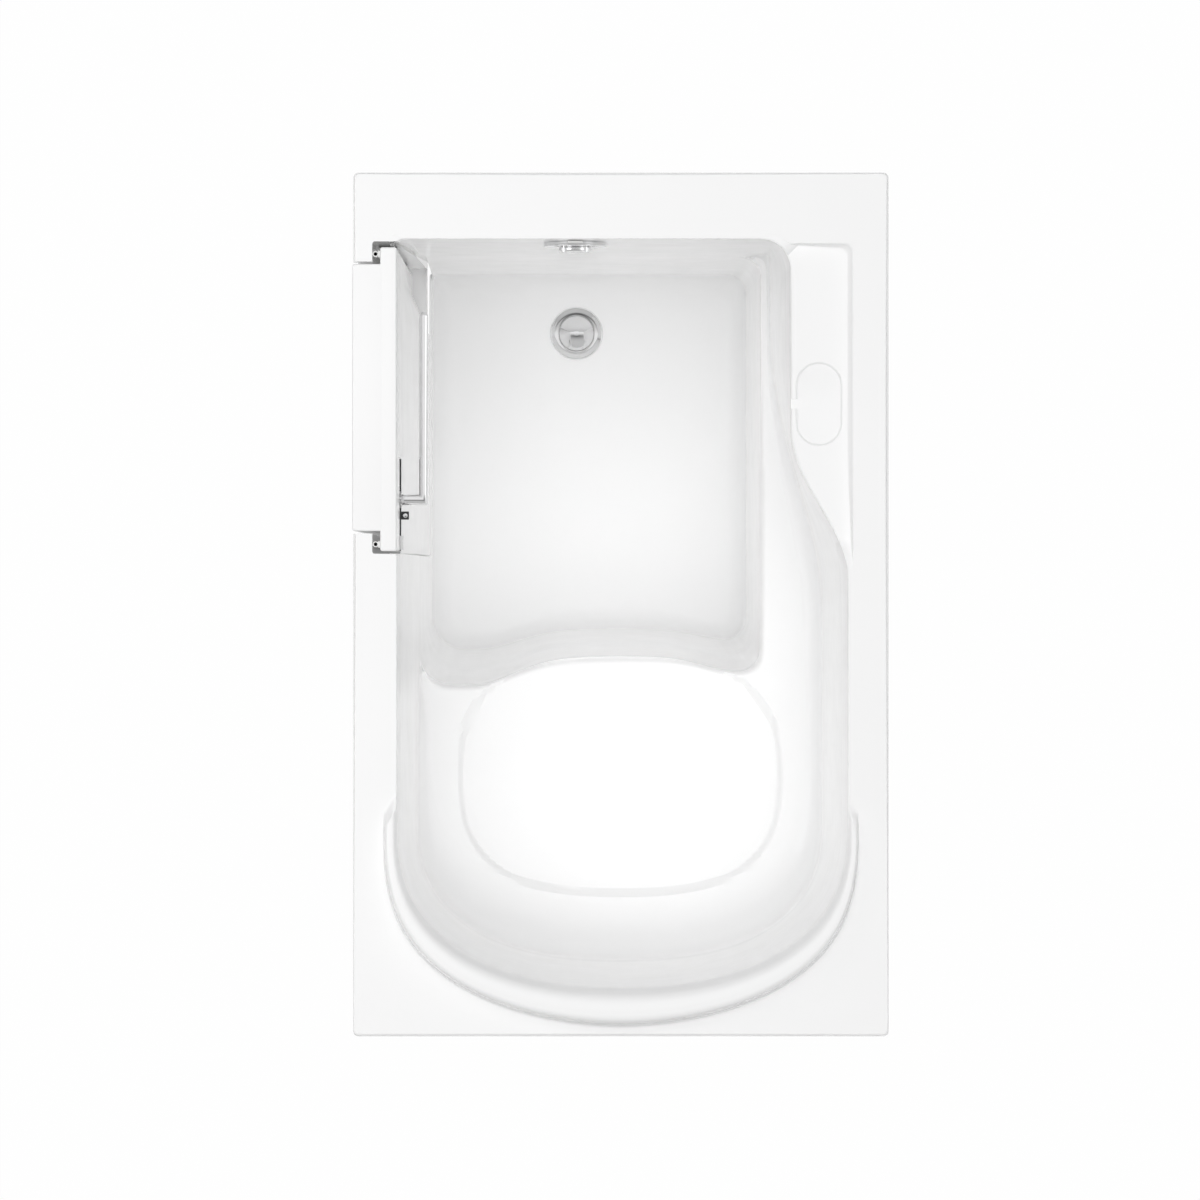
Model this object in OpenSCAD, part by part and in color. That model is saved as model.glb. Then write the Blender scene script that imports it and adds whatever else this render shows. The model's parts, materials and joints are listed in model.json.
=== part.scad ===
// Walk-in bathtub with an inward-opening side door.
// X runs across the bath with the door at -X, Y runs along it with the back rest at -Y,
// and Z is up from the floor. Millimetres.

/* [Bath] */
// Width of the bath, door face to wall edge
bath_w = 750; // [730:1:780]
// Length of the bath, foot end to back rest
bath_l = 1210; // [1190:1:1260]
// Height of the rim deck above the floor
rim_z = 940; // [900:1:980]
// Thickness of the moulded shell
shell_t = 6; // [4:0.5:7]
// Depth of the turned-down outer lip
lip_h = 40; // [30:1:60]
// Radius of the four outer corners
edge_r = 7; // [4:1:12]
// Height of the inside floor
well_z = 140; // [134:1:150]
// Height of the seat
seat_z = 565; // [540:1:600]
// Thickness of the seat and armrest layers
seat_t = 14; // [12:0.5:18]

/* [Basin] */
// Width of the deck at the foot end
deck_foot = 96; // [92:1:110]
// Width of the deck on the door side
deck_door = 63; // [63:1:66]
// Width of the flat edge on the wall side
deck_wall = 52; // [48:1:60]
// Width of the deck behind the back rest
deck_back = 18; // [16:1:26]
// Radius of the rolled edge into the basin
roll_r = 6; // [4:0.5:7]
// Height of the raised roll at the back rest
ridge_h = 40; // [20:1:55]
// Width of the raised roll at the back
ridge_w = 40; // [34:1:46]
// Depth of the side shelf below the rim
shelf_d = 10; // [6:0.5:14]
// Width of the side shelf
shelf_w = 87; // [80:1:92]
// Depth of the groove of the soap dish
dish_d = 3.5; // [2:0.5:5]
// Depth of the seat recess
recess_d = 8; // [4:0.5:9]
// Width of the armrest at the foot end
arm_w = 16; // [14:1:24]
// Forward slope of the seat's front over its height
seat_rake = 38; // [20:1:50]
// Radius between the footwell's walls and floor
floor_r = 25; // [20:1:50]
// Distance from the back of the bath to the seat's front edge
seat_l = 529; // [515:1:540]

/* [Door] */
// Width of the door's inner flange
flange_w = 424; // [418:1:428]
// Thickness of the door's inner flange
flange_t = 23; // [20:0.5:24]
// Thickness of the door's outer body
body_t = 39; // [36:0.5:42]
// Radius of the edges of the door's mouldings
door_r = 3; // [1:0.5:4]
// Step from the flange's edge to the body's edge on the hinge side
step_hinge = 23.5; // [23:0.5:26]
// Step from the flange's edge to the body's edge on the free side
step_free = 28; // [26:0.5:30]
// Gap between the door's body and the frame's lip
body_gap = 3.5; // [3:0.25:4]
// Gap between the flange's edge and the rebate
rebate_gap = 8; // [7:0.5:9]
// Gap between the free edge of the flange and the jamb
free_gap = 3.7; // [3.2:0.1:4.5]
// Height of the doorway's sill
sill_z = 190; // [188:1:220]
// Wall of the door's mouldings
door_wall = 4; // [3:0.5:5]
// How far the door swings
door_swing_deg = 64; // [40:1:64]
// Outer diameter of the bulb seal
seal_d = 8.2; // [7:0.1:8.6]
// Bore of the bulb seal
seal_bore = 5.3; // [3:0.1:5.6]

/* [Hinges] */
// Diameter of a hinge pin
pin_d = 4; // [3:0.25:4.5]
// Diameter of a hinge knuckle
knuckle_d = 8; // [7.5:0.25:8.2]
// Height of a hinge
hinge_h = 84; // [60:1:120]
// Thickness of a hinge leaf
leaf_t = 1.8; // [1.5:0.1:2]
// Distance from the flange's inner face to the hinge axis
hinge_in = 6.2; // [5.8:0.1:6.6]
// Height of the lower hinge's middle above the sill
hinge_up = 150; // [110:1:200]
// Depth of the upper hinge's middle below the rim
hinge_down = 140; // [110:1:200]

/* [Latch] */
// Depth of the lever's spindle below the rim
latch_drop = 150; // [130:1:200]
// Distance from the flange's free edge to the spindle
spindle_in = 74; // [70:1:80]
// Length of the lever, spindle to tip
lever_l = 266; // [200:1:270]
// Width of the lever's bar
lever_w = 13; // [10:0.5:16]
// Height of the lever's bar
lever_h = 20; // [14:0.5:24]
// Stand-off of the lever's bar from the door
lever_off = 27; // [21:0.5:28]
// Diameter of the spindle
spindle_d = 10; // [8:0.5:11]
// Module of the rack and the pinion
tooth_module = 1.7; // [1.7:0.1:1.8]
// Teeth on the pinion
pinion_teeth = 12; // [12:1:12]
// Thickness of the bolt
bolt_t = 4; // [3:0.25:4]
// Height of the bolt under its teeth
bolt_h = 14; // [10:0.5:18]
// Length of the bolt
bolt_l = 130; // [124:1:134]

/* [Waste] */
// Diameter of the waste flange
waste_d = 81; // [70:1:90]
// Distance from the foot wall to the waste
waste_in = 98; // [90:1:120]
// Diameter of the waste's bore
waste_bore = 52; // [44:1:56]
// Diameter of the plug's dome
plug_d = 56; // [50:1:57]
// How far the plug lifts
plug_lift = 10; // [6:0.5:12]
// Diameter of the overflow's faceplate
face_d = 90; // [70:1:92]
// Depth of the overflow below the rim
overflow_drop = 78; // [72:1:160]
// Outer diameter of the outlet spigot
spigot_d = 40; // [32:0.5:43]
// Length of the outlet spigot
spigot_l = 40; // [30:1:60]
// Outer diameter of the overflow pipe
pipe_d = 32; // [28:1:34]
// Wall of the pipes
pipe_wall = 2.5; // [2:0.25:3]

/* [Frame] */
// Side of the square tubes
tube_w = 30; // [25:1:32]
// Side of the square uprights
post_w = 25; // [20:1:28]
// Wall of the tubes
tube_wall = 2; // [1.5:0.25:3]
// Thickness of the timber boards
board_t = 15; // [12:1:16]
// Thickness of the cover panels
panel_t = 3; // [2:0.5:4]
// Diameter of a foot's pad
foot_d = 50; // [40:1:60]
// Diameter of a foot's threaded rod
rod_d = 12; // [10:1:14]

/* [Fits] */
// Clearance between separate bodies
gap = 0.3; // [0.2:0.05:0.4]
// Running clearance of a turning fit, on the radius
run = 0.05; // [0.03:0.01:0.1]

/* [Hidden] */
$fn = 48;

// The bath's outer edges, and the edges of the basin at rim height.
x0 = -bath_w / 2;
x1 = bath_w / 2;
y0 = -bath_l / 2;
y1 = bath_l / 2;
basin_x0 = x0 + deck_door;
basin_y1 = y1 - deck_foot;
line_x0 = basin_x0 - roll_r - 1;
line_x1 = x1 - deck_wall;
line_y0 = y0 + deck_back;
basin_x1 = line_x1 - roll_r - 1;
basin_y0 = line_y0 + ridge_w;
shelf_x = line_x1 - shelf_w;
shelf_y1 = basin_y1 - roll_r;
// Where the back rest's curve begins, and the S-shaped end of the shelf.
back_l = 302;
shelf_l = [266, 475];
back_y = y0 + back_l;
shelf_s1 = basin_y1 - shelf_l[0];
shelf_s0 = basin_y1 - shelf_l[1];
// How far the upper walls lean in down to the seat: door side, wall side and back rest.
lean = [20, 26, 44];
foot_x0 = basin_x0 + lean[0];
foot_x1 = basin_x1 - lean[1];
foot_y0 = basin_y0 + lean[2];
// The ledge beside the footwell, and the S-shaped front of the armrest.
ledge_w = 92;
arm_l = [109, 529];
well_x1 = foot_x1 - ledge_w;
arm_x = well_x1 + arm_w;
arm_s1 = basin_y1 - arm_l[0];
arm_s0 = basin_y1 - arm_l[1];
seat_y = y0 + seat_l;
// The footwell's floor outline: its walls lean in by these on the door side and the wall side.
well_lean = [9, 12];
floor_x0 = foot_x0 + well_lean[0];
floor_x1 = well_x1 - well_lean[1];
floor_y0 = seat_y + seat_rake;
// The depth of the wall at which the basin reaches its seat-level width.
wall_d = rim_z - seat_z;

// Centre that every ring of the shell is drawn from.
star = [-42, basin_y1 - 309];

function clamp(v) = max(0, min(1, v));
function smooth(v) = let (u = clamp(v)) u * u * (3 - 2 * u);
function lerp(a, b, k) = a + (b - a) * k;
function unit(v) = v / norm(v);

// A corner at b between a and c, rounded to radius r in n steps.
function corner(a, b, c, r, n = 4) =
    let (
        u = unit(a - b),
        v = unit(c - b),
        half = acos(u * v) / 2,
        mid = b + unit(u + v) * r / sin(half),
        s = b + u * r / tan(half) - mid,
        e = b + v * r / tan(half) - mid,
        from = atan2(s.y, s.x),
        turn = ((atan2(e.y, e.x) - from + 540) % 360) - 180
    )
    [for (i = [0:n]) mid + r * [cos(from + turn * i / n), sin(from + turn * i / n)]];

// The lower half of a superellipse, from its right end round the back to its left end.
function back_curve(left, right, depth, power, n = 28) =
    [for (i = [0:n])
        let (c = cos(180 * i / n), s = sin(180 * i / n), f = pow(abs(c), 2 / power))
        [c >= 0 ? right * f : left * f, back_y - depth * pow(s, 2 / power)]];

// An S-shaped step in X between two heights in Y.
function s_curve(xa, ya, xb, yb, n = 10) =
    [for (i = [0:n]) [lerp(xa, xb, 0.5 - 0.5 * cos(180 * i / n)), lerp(ya, yb, i / n)]];

// The front edge of the seat: nearly straight, with a hollow for each leg, given by its
// middle in X, its half width and its depth.
legs = [[-205, 62, 41], [160, 42, 16]];
function seat_front(x, y, hollow) =
    y - hollow * (legs[0][2] * exp(-pow((x - legs[0][0]) / legs[0][1], 2))
        + legs[1][2] * exp(-pow((x - legs[1][0]) / legs[1][1], 2)));

edge_outline = concat(
    corner([x1, y0], [x1, y1], [x0, y1], edge_r),
    corner([x1, y1], [x0, y1], [x0, y0], edge_r),
    corner([x0, y1], [x0, y0], [x1, y0], edge_r),
    corner([x0, y0], [x1, y0], [x1, y1], edge_r));

line_outline = concat(
    [[line_x0, basin_y1 + roll_r + 1], [shelf_x - 22, basin_y1 + roll_r + 1], [shelf_x, shelf_y1]],
    corner([shelf_x, shelf_y1], [line_x1, shelf_y1], [line_x1, back_y], 12),
    back_curve(line_x0, line_x1, back_y - line_y0, 2.25));

basin_outline = concat(
    corner([basin_x0, back_y], [basin_x0, basin_y1], [shelf_x, basin_y1], 8, 3),
    corner([basin_x0, basin_y1], [shelf_x, basin_y1], [shelf_x, shelf_s1], 42, 6),
    s_curve(shelf_x, shelf_s1, basin_x1, shelf_s0),
    back_curve(basin_x0, basin_x1, back_y - basin_y0, 2.3));

foot_outline = concat(
    [[foot_x0, basin_y1 - 1], [arm_x - 8, basin_y1 - 1], [arm_x, basin_y1 - 9]],
    s_curve(arm_x, arm_s1, foot_x1, arm_s0),
    back_curve(foot_x0, foot_x1, back_y - foot_y0, 2.5));

function well_outline(left, right, top, y, hollow, r) = concat(
    corner([left, 0], [left, top], [0, top], 10, 2),
    corner([left, top], [right, top], [right, 0], 30),
    corner([right, 0], [right, seat_front(right, y, hollow)], [0, seat_front(0, y, hollow)], r * 0.4),
    [for (x = [right - 30:-22:left + 50]) [x, seat_front(x, y, hollow)]],
    corner([0, seat_front(left, y, hollow)], [left, seat_front(left, y, hollow)], [left, 0], r));

well_top = well_outline(foot_x0 + 1.5, well_x1, basin_y1 - 2.5, seat_y, 1, 45);
well_floor = well_outline(floor_x0, floor_x1, basin_y1 - 4, floor_y0, 0.25, 60);

// Distance from the centre to a closed outline in direction d.
function ray(outline, d) =
    max([for (i = [0:len(outline) - 1])
        let (
            p = outline[i] - star,
            e = outline[(i + 1) % len(outline)] - outline[i],
            den = d.x * e.y - d.y * e.x
        )
        if (abs(den) > 1e-9)
            let (t = (p.x * e.y - p.y * e.x) / den, u = (p.x * d.y - p.y * d.x) / den)
            if (t > 0 && u >= -1e-6 && u <= 1 + 1e-6) t]);

function sorted(v) = len(v) < 2 ? v :
    let (m = v[floor(len(v) / 2)])
    concat(sorted([for (a = v) if (a < m) a]), [m], sorted([for (a = v) if (a > m) a]));
function angle_to(p) = (atan2(p.y - star.y, p.x - star.x) + 360) % 360;

// Directions of the rings' points: even steps, and the corners of the outlines.
step_deg = 4;
keys = concat(
    [for (p = edge_outline) angle_to(p)],
    [for (i = [3:2:7]) angle_to(line_outline[i])],
    [for (i = [0:2]) angle_to(basin_outline[i])],
    [for (i = [4:2:10]) angle_to(basin_outline[i])],
    [for (i = [3:10]) angle_to(well_top[i])]);
even = [for (a = [0:step_deg:359]) if (min([for (k = keys) abs(k - a)]) > 1.2) a];
merged = sorted(concat(keys, even));
dirs = [for (i = [0:len(merged) - 1]) if (i == 0 || merged[i] - merged[i - 1] > 0.12) merged[i]];

// Heights of the back rest's roll, by the share of its width.
roll_shape = [[0.05, 0.35], [0.15, 0.7], [0.3, 0.93], [0.46, 1], [0.66, 0.92], [0.86, 0.62]];
shelf_shape = [0.5, 0.95, 1, 1, 1, 1];

// Radius of the wall in one direction at height z, from the rim to the footwell's floor.
function wall_r(s, z) =
    z > seat_z ?
        let (k = (rim_z - z) / wall_d) lerp(s[2], s[3], 0.35 * k + 0.65 * pow(k, 0.7)) :
        lerp(s[4], s[5], clamp((seat_z - z) / (seat_z - well_z - floor_r)));

// One direction's section: distances to the outlines, the roll's height, the shelf's share
// and the share of the seat-level plane.
function section(a) =
    let (
        d = [cos(a), sin(a)],
        l = ray(line_outline, d),
        b = ray(basin_outline, d),
        f = ray(foot_outline, d),
        w = ray(well_top, d),
        y = star.y + l * d.y
    )
    [ray(edge_outline, d), l, b, f, w, ray(well_floor, d),
        ridge_h * smooth((back_y - y) / (back_y - line_y0)),
        y > 0 ? smooth((l - b - roll_r - 4) / 14) : 0,
        smooth((f - w - 4) / 10)];

// The upper surface in one direction, as [distance, height] from the lip to the floor.
function upper(s) =
    let (
        e = s[0], l = s[1], b = s[2], f = s[3], w = s[4], v = s[5],
        rise = s[6], drop = s[7] * shelf_d, flat = s[8],
        band = l - b - roll_r,
        cove = min(24, 0.35 * (f - w)),
        lipr = min(14, 0.3 * (f - w))
    )
    concat(
        [[e, rim_z - lip_h], [e, rim_z - 4], [e - 1.2, rim_z - 1.2], [e - 4, rim_z], [l + 0.5, rim_z]],
        [for (i = [0:5])
            [l - band * roll_shape[i][0], rim_z + rise * roll_shape[i][1] - drop * shelf_shape[i]]],
        [[b + roll_r * 0.9, rim_z + rise * 0.36 - drop],
         [b + roll_r * 0.3, rim_z + rise * 0.14 - drop - roll_r * 0.3],
         [b, rim_z - drop - roll_r]],
        [for (z = [rim_z - 50, rim_z - 150, seat_z + 70]) [wall_r(s, z), z]],
        [for (k = [
            [seat_z + 26, f + 4, 26], [seat_z + 12, f - 6, 8], [seat_z + 2, f - cove, 1.2],
            [seat_z - 8, f - cove - 2, 0], [seat_z - 20, w + lipr, 0], [seat_z - 34, w + 3.5, -3.5],
            [seat_z - 50, w, -14]])
            [lerp(wall_r(s, k[0]), k[1], flat), lerp(k[0], seat_z + k[2], flat)]],
        [[lerp(w, v, 0.5), (seat_z + well_z) / 2], [v, well_z + floor_r],
         [v - 0.29 * floor_r, well_z + 0.29 * floor_r], [v - floor_r, well_z]]);

// The underside, in the same form, from the lip inwards.
function under(s) =
    let (
        e = s[0], l = s[1], b = s[2], f = s[3], w = s[4], v = s[5],
        rise = s[6], share = s[7], drop = share * (shelf_d + dish_d), flat = s[8],
        band = l - b - roll_r,
        hump = rise / max(ridge_h, 1),
        t = shell_t
    )
    concat(
        [[e - t, rim_z - lip_h], [e - t, rim_z - t],
         [l + 2 + share * t - 3 * hump, rim_z - t],
         [l + 1.6 + share * (t - 1) - 3 * hump, rim_z - t - 0.5 - drop * 0.9 + rise * 0.02],
         [l + 1.2 - (band + 1) * 0.45, rim_z - t - 1 - drop + rise],
         [l + 1 - (band + 1) * 0.8, rim_z - t - 2 - drop + rise * 0.72],
         [b + t, rim_z - t - roll_r - drop]],
        [[wall_r(s, rim_z - 150) + t, rim_z - 150]],
        [for (k = [
            [seat_z + 24, f + 4 + t, 22], [seat_z - 12, max(f - 2, w + t + 1), -seat_t],
            [seat_z - 40, w + t, -seat_t]])
            [lerp(wall_r(s, k[0]) + t, k[1], flat), lerp(k[0], seat_z + k[2], flat)]],
        [[v + t, well_z + floor_r],
         [v - 0.29 * floor_r + 0.7 * t, well_z + 0.29 * floor_r - 0.7 * t],
         [v - floor_r, well_z - t]]);

// A closed skin between two stacks of rings that share the lip's lower edge.
module ring_skin(sections) {
    n = len(sections);
    tops = [for (s = sections) upper(s)];
    lows = [for (s = sections) under(s)];
    m = len(tops[0]);
    q = len(lows[0]);
    function at(rz, i) = [star.x + rz[0] * cos(dirs[i]), star.y + rz[0] * sin(dirs[i]), rz[1]];
    pts = concat(
        [for (k = [0:m - 1]) for (i = [0:n - 1]) at(tops[i][k], i)],
        [for (k = [0:q - 1]) for (i = [0:n - 1]) at(lows[i][k], i)],
        [[star.x, star.y, well_z], [star.x, star.y, well_z - shell_t]]);
    function band(a, b, i) = let (j = (i + 1) % n)
        [[a + i, b + j, a + j], [a + i, b + i, b + j]];
    faces = concat(
        [for (k = [0:m - 2]) for (i = [0:n - 1]) each band(k * n, (k + 1) * n, i)],
        [for (i = [0:n - 1]) [(m - 1) * n + i, (m + q) * n, (m - 1) * n + (i + 1) % n]],
        [for (k = [m:m + q - 2]) for (i = [0:n - 1]) each band((k + 1) * n, k * n, i)],
        [for (i = [0:n - 1]) [(m + q - 1) * n + (i + 1) % n, (m + q) * n + 1, (m + q - 1) * n + i]],
        [for (i = [0:n - 1]) each band(m * n, 0, i)]);
    polyhedron(pts, faces);
}

// The doorway: rebate, door edges, frame's lip and hinge axis.
rebate_y1 = basin_y1 - 2.5;
flange_y1 = rebate_y1 - rebate_gap;
flange_y0 = flange_y1 - flange_w;
rebate_y0 = flange_y0 - free_gap;
flange_x1 = basin_x0 - 1;
flange_x0 = flange_x1 - flange_t;
flange_z0 = sill_z + free_gap;
body_x0 = flange_x0 - body_t;
body_y1 = flange_y1 - step_hinge;
body_y0 = flange_y0 + step_free;
body_z0 = flange_z0 + step_free;
seal_room = seal_d + 2.8;
lip_x1 = flange_x0 - seal_room;
lip_y0 = body_y0 - body_gap;
lip_y1 = body_y1 + body_gap;
lip_z1 = body_z0 - body_gap;
hinge_x = flange_x1 - hinge_in;
hinge_y = rebate_y1 - knuckle_d / 2 - 0.1;
hinge_zs = [sill_z + hinge_up, rim_z - hinge_down];

// The waste in the floor and the overflow on the foot wall.
waste_at = [-65, basin_y1 - waste_in];
overflow_x = -64;
overflow_z = rim_z - overflow_drop;
wall_y = basin_y1 - 1;
waste_hole_d = waste_bore + 2 * pipe_wall + 2 * gap;
neck_d = 24;

// The latch on the door.
latch_z = rim_z - latch_drop;
spindle_y = flange_y0 + spindle_in;
plate_t = 3;
plate_x0 = flange_x1 - 6;
bolt_x0 = plate_x0 + plate_t + gap;
bolt_x1 = bolt_x0 + bolt_t;
pitch_r = tooth_module * pinion_teeth / 2;
rack_up = 0.68 * tooth_module;
rack_down = tooth_module + 0.4;
bolt_z1 = latch_z - pitch_r - rack_down;
bolt_y0 = flange_y0 + 2;
backlash = 0.3;
throw = pitch_r * PI / 2;

// A box from its two far corners.
module block(a, b) {
    translate(a) cube(b - a);
}

// A rod along X, Y or Z from one end, of diameter d and length l.
module rod_x(at, d, l) {
    translate(at) rotate([0, 90, 0]) cylinder(d = d, h = l);
}
module rod_y(at, d, l) {
    translate(at) rotate([-90, 0, 0]) cylinder(d = d, h = l);
}
module rod_z(at, d, l) {
    translate(at) cylinder(d = d, h = l);
}

// A flat outline with two round ends, l long between their centres along Y.
module stadium(d, l) {
    translate([-d / 2, 0]) square([d, l]);
    circle(d = d);
    translate([0, l]) circle(d = d);
}

// The doorway as the shell and the frame are cut for it, reaching in to X = inner.
module doorway(inner) {
    block([lip_x1, rebate_y0, sill_z], [inner, rebate_y1, rim_z + ridge_h]);
    block([x0 - 10, lip_y0, lip_z1], [inner, lip_y1, rim_z + ridge_h]);
}

// The bolt's way into the jamb.
module bolt_way() {
    block([bolt_x0 - gap, bolt_y0 - throw - 6, bolt_z1 - bolt_h - gap],
          [bolt_x1 + gap, rebate_y0 + 1, bolt_z1 + rack_down + rack_up + gap]);
}

// The seat's shallow recess, a superellipse in plan that runs out at the front edge.
module seat_recess() {
    rx = 232;
    ry = 172;
    power = 3.2;
    mid_y = seat_y - ry;
    translate([0, mid_y, seat_z - recess_d])
        linear_extrude(recess_d + 20)
            polygon([for (a = [0:7.5:359])
                [rx * sign(cos(a)) * pow(abs(cos(a)), 2 / power),
                 ry * sign(sin(a)) * pow(abs(sin(a)), 2 / power)]]);
}

// The soap dish in the shelf, with its drain to the basin.
module soap_dish() {
    dish_w = 62;
    dish_l = 114;
    dish_in = 286;
    drain_w = 14;
    dish_x = (shelf_x + line_x1) / 2 - 3;
    dish_y = basin_y1 - dish_in;
    translate([dish_x, dish_y + dish_w / 2, rim_z - shelf_d - dish_d])
        linear_extrude(shelf_d)
            stadium(dish_w, dish_l - dish_w);
    block([shelf_x - 12, dish_y + (dish_l - drain_w) / 2, rim_z - shelf_d - dish_d],
          [dish_x, dish_y + (dish_l + drain_w) / 2, rim_z]);
}

module bath_shell() {
    color("white")
        difference() {
            ring_skin([for (a = dirs) section(a)]);
            doorway(foot_x0 + 12);
            bolt_way();
            seat_recess();
            soap_dish();
            rod_z([waste_at.x, waste_at.y, well_z - 40], waste_hole_d, 80);
            rod_y([overflow_x, wall_y - 20, overflow_z], neck_d + 2 * gap, 50);
        }
}

// X of the shell's door-side wall at height z, on the basin's side.
function wall_x(z) = z > seat_z ?
    let (k = (rim_z - z) / wall_d) lerp(basin_x0, foot_x0, 0.35 * k + 0.65 * pow(k, 0.7)) :
    lerp(foot_x0 + 1.5, floor_x0, clamp((seat_z - z) / (seat_z - well_z - floor_r)));

// The frame round the doorway: one moulding that closes the space behind the shell's wall.
frame_x0 = x0 + shell_t + gap;
frame_y0 = lip_y0 - 45;
frame_y1 = lip_y1 + 58;
frame_z0 = lip_z1 - 78;
deck_under = rim_z - shell_t;
wall_gap = 0.5;
frame_zs = concat(
    [deck_under - roll_r - 6],
    [for (d = [50:50:250]) rim_z - d],
    [for (d = [70, 25, -5, -65, -165, -265]) seat_z + d],
    [well_z + floor_r]);
frame_inner = [for (z = frame_zs) [wall_x(z) - 1.16 * shell_t - wall_gap, z]];

module frame_block() {
    translate([0, frame_y1, 0])
        rotate([90, 0, 0])
            linear_extrude(frame_y1 - frame_y0)
                polygon(concat(
                    [[frame_x0, frame_z0], [frame_x0, deck_under],
                     [line_x0 - 5, deck_under], [line_x0 - 5, deck_under - roll_r - 6]],
                    frame_inner,
                    [[floor_x0 - 8, frame_z0 + 12], [floor_x0 - 8, frame_z0]]));
}
module door_frame() {
    color("white")
        difference() {
            frame_block();
            doorway(foot_x0 + 12);
            keeper_room(rebate_y0 + 1);
        }
}

// The notch in the jamb, from its back to Y = front, and the keeper that fills it.
strike_t = 1.5;
keeper_z0 = bolt_z1 - bolt_h - 18;
keeper_z1 = bolt_z1 + rack_down + 22;
module keeper_room(front) {
    block([lip_x1 + 4, frame_y0 - 1, keeper_z0], [floor_x0, front, keeper_z1]);
}
module bolt_keeper() {
    color("black")
        difference() {
            intersection() {
                frame_block();
                keeper_room(rebate_y0 - strike_t);
            }
            bolt_way();
        }
}

// The steel plate round the bolt's slot, on the keeper's face.
module strike_plate() {
    color("silver")
        difference() {
            block([lip_x1 + 4, rebate_y0 - strike_t, keeper_z0], [bolt_x1 + 1.1, rebate_y0, keeper_z1]);
            bolt_way();
            for (z = [bolt_z1 - bolt_h - 11, bolt_z1 + rack_down + 14])
                rod_y([(lip_x1 + bolt_x0) / 2, rebate_y0 - strike_t - 1, z], 4, strike_t + 2);
        }
}

// Square tube along Y, X or Z between two corners, open at both ends.
module tube(a, b, axis) {
    e = [for (i = [0:2]) i == axis ? -1 : tube_wall];
    difference() {
        block(a, b);
        block(a + e, b - e);
    }
}

// Levels of the support frame, from the boards down.
board_z0 = well_z - shell_t - board_t;
rail_z0 = board_z0 - tube_w;
cross_z0 = rail_z0 - tube_w;
rail_x = 200;
side_x = x1 - shell_t - gap - panel_t;
end_y = y1 - shell_t - gap - panel_t;
door_room = 84;
mid_y = frame_y0 - door_room - tube_w;
cross_ys = [-end_y, mid_y, end_y - tube_w];
seat_board_z0 = seat_z - seat_t - board_t;
bearer_in = [165, 84];
bearer_ys = [y0 + bearer_in[0], seat_y - bearer_in[1]];

module base_rails() {
    color("dimgray")
        for (x = [-rail_x, rail_x])
            tube([x - tube_w / 2, -end_y, rail_z0], [x + tube_w / 2, end_y, board_z0], 1);
}

module cross_tubes() {
    color("dimgray")
        for (y = cross_ys)
            difference() {
                tube([-side_x, y, cross_z0], [side_x, y + tube_w, rail_z0], 0);
                for (x = foot_xs) rod_z([x, y + tube_w / 2, cross_z0 - 1], rod_d, tube_wall + 2);
            }
}

// Six uprights carry the rim from the cross tubes.
module uprights() {
    color("dimgray")
        for (x = [-side_x, side_x - post_w])
            for (y = cross_ys)
                tube([x, y + (tube_w - post_w) / 2, rail_z0],
                     [x + post_w, y + (tube_w + post_w) / 2, deck_under], 2);
}

// A rail along the wall side, just under the deck, that the wall brackets are screwed to.
wall_rail_z1 = deck_under - 30;
module wall_rail() {
    color("dimgray")
        for (i = [0, 1])
            tube([side_x - post_w, cross_ys[i] + (tube_w + post_w) / 2, wall_rail_z1 - post_w],
                 [side_x, cross_ys[i + 1] + (tube_w - post_w) / 2, wall_rail_z1], 1);
}

// Plates on the wall side that are screwed to the rail and to the room's wall.
bracket_t = 3;
bracket_w = 40;
bracket_l = 60;
bracket_in = [285, 305];
bracket_ys = [y0 + bracket_in[0], y1 - bracket_in[1]];
bracket_hole = 8;
bracket_hole_z = wall_rail_z1 - post_w - bracket_l * 0.6;
module wall_brackets() {
    color("silver")
        for (y = bracket_ys)
            difference() {
                block([side_x, y - bracket_w / 2, wall_rail_z1 - post_w - bracket_l],
                      [side_x + bracket_t, y + bracket_w / 2, wall_rail_z1]);
                rod_x([side_x - 1, y, bracket_hole_z], bracket_hole, bracket_t + 2);
            }
}

// The seat's support: bearers on posts that stand on the base rails.
module seat_posts() {
    color("dimgray")
        for (x = [-rail_x, rail_x])
            for (y = bearer_ys)
                tube([x - post_w / 2, y - post_w / 2, board_z0],
                     [x + post_w / 2, y + post_w / 2, seat_board_z0 - tube_w], 2);
}

module seat_bearers() {
    color("dimgray")
        for (y = bearer_ys)
            tube([-rail_x - tube_w / 2, y - tube_w / 2, seat_board_z0 - tube_w],
                 [rail_x + tube_w / 2, y + tube_w / 2, seat_board_z0], 0);
}

module floor_board() {
    color("burlywood")
        difference() {
            block([-rail_x - tube_w, floor_y0, board_z0],
                  [rail_x + tube_w / 2, basin_y1 - floor_r, board_z0 + board_t]);
            rod_z([waste_at.x, waste_at.y, board_z0 - 1], waste_hole_d + 30, board_t + 2);
        }
}

module seat_board() {
    color("burlywood")
        block([-rail_x - tube_w / 2, bearer_ys[0] - tube_w / 2, seat_board_z0],
              [rail_x + tube_w / 2, bearer_ys[1] + tube_w / 2 + 10, seat_board_z0 + board_t]);
}

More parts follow.
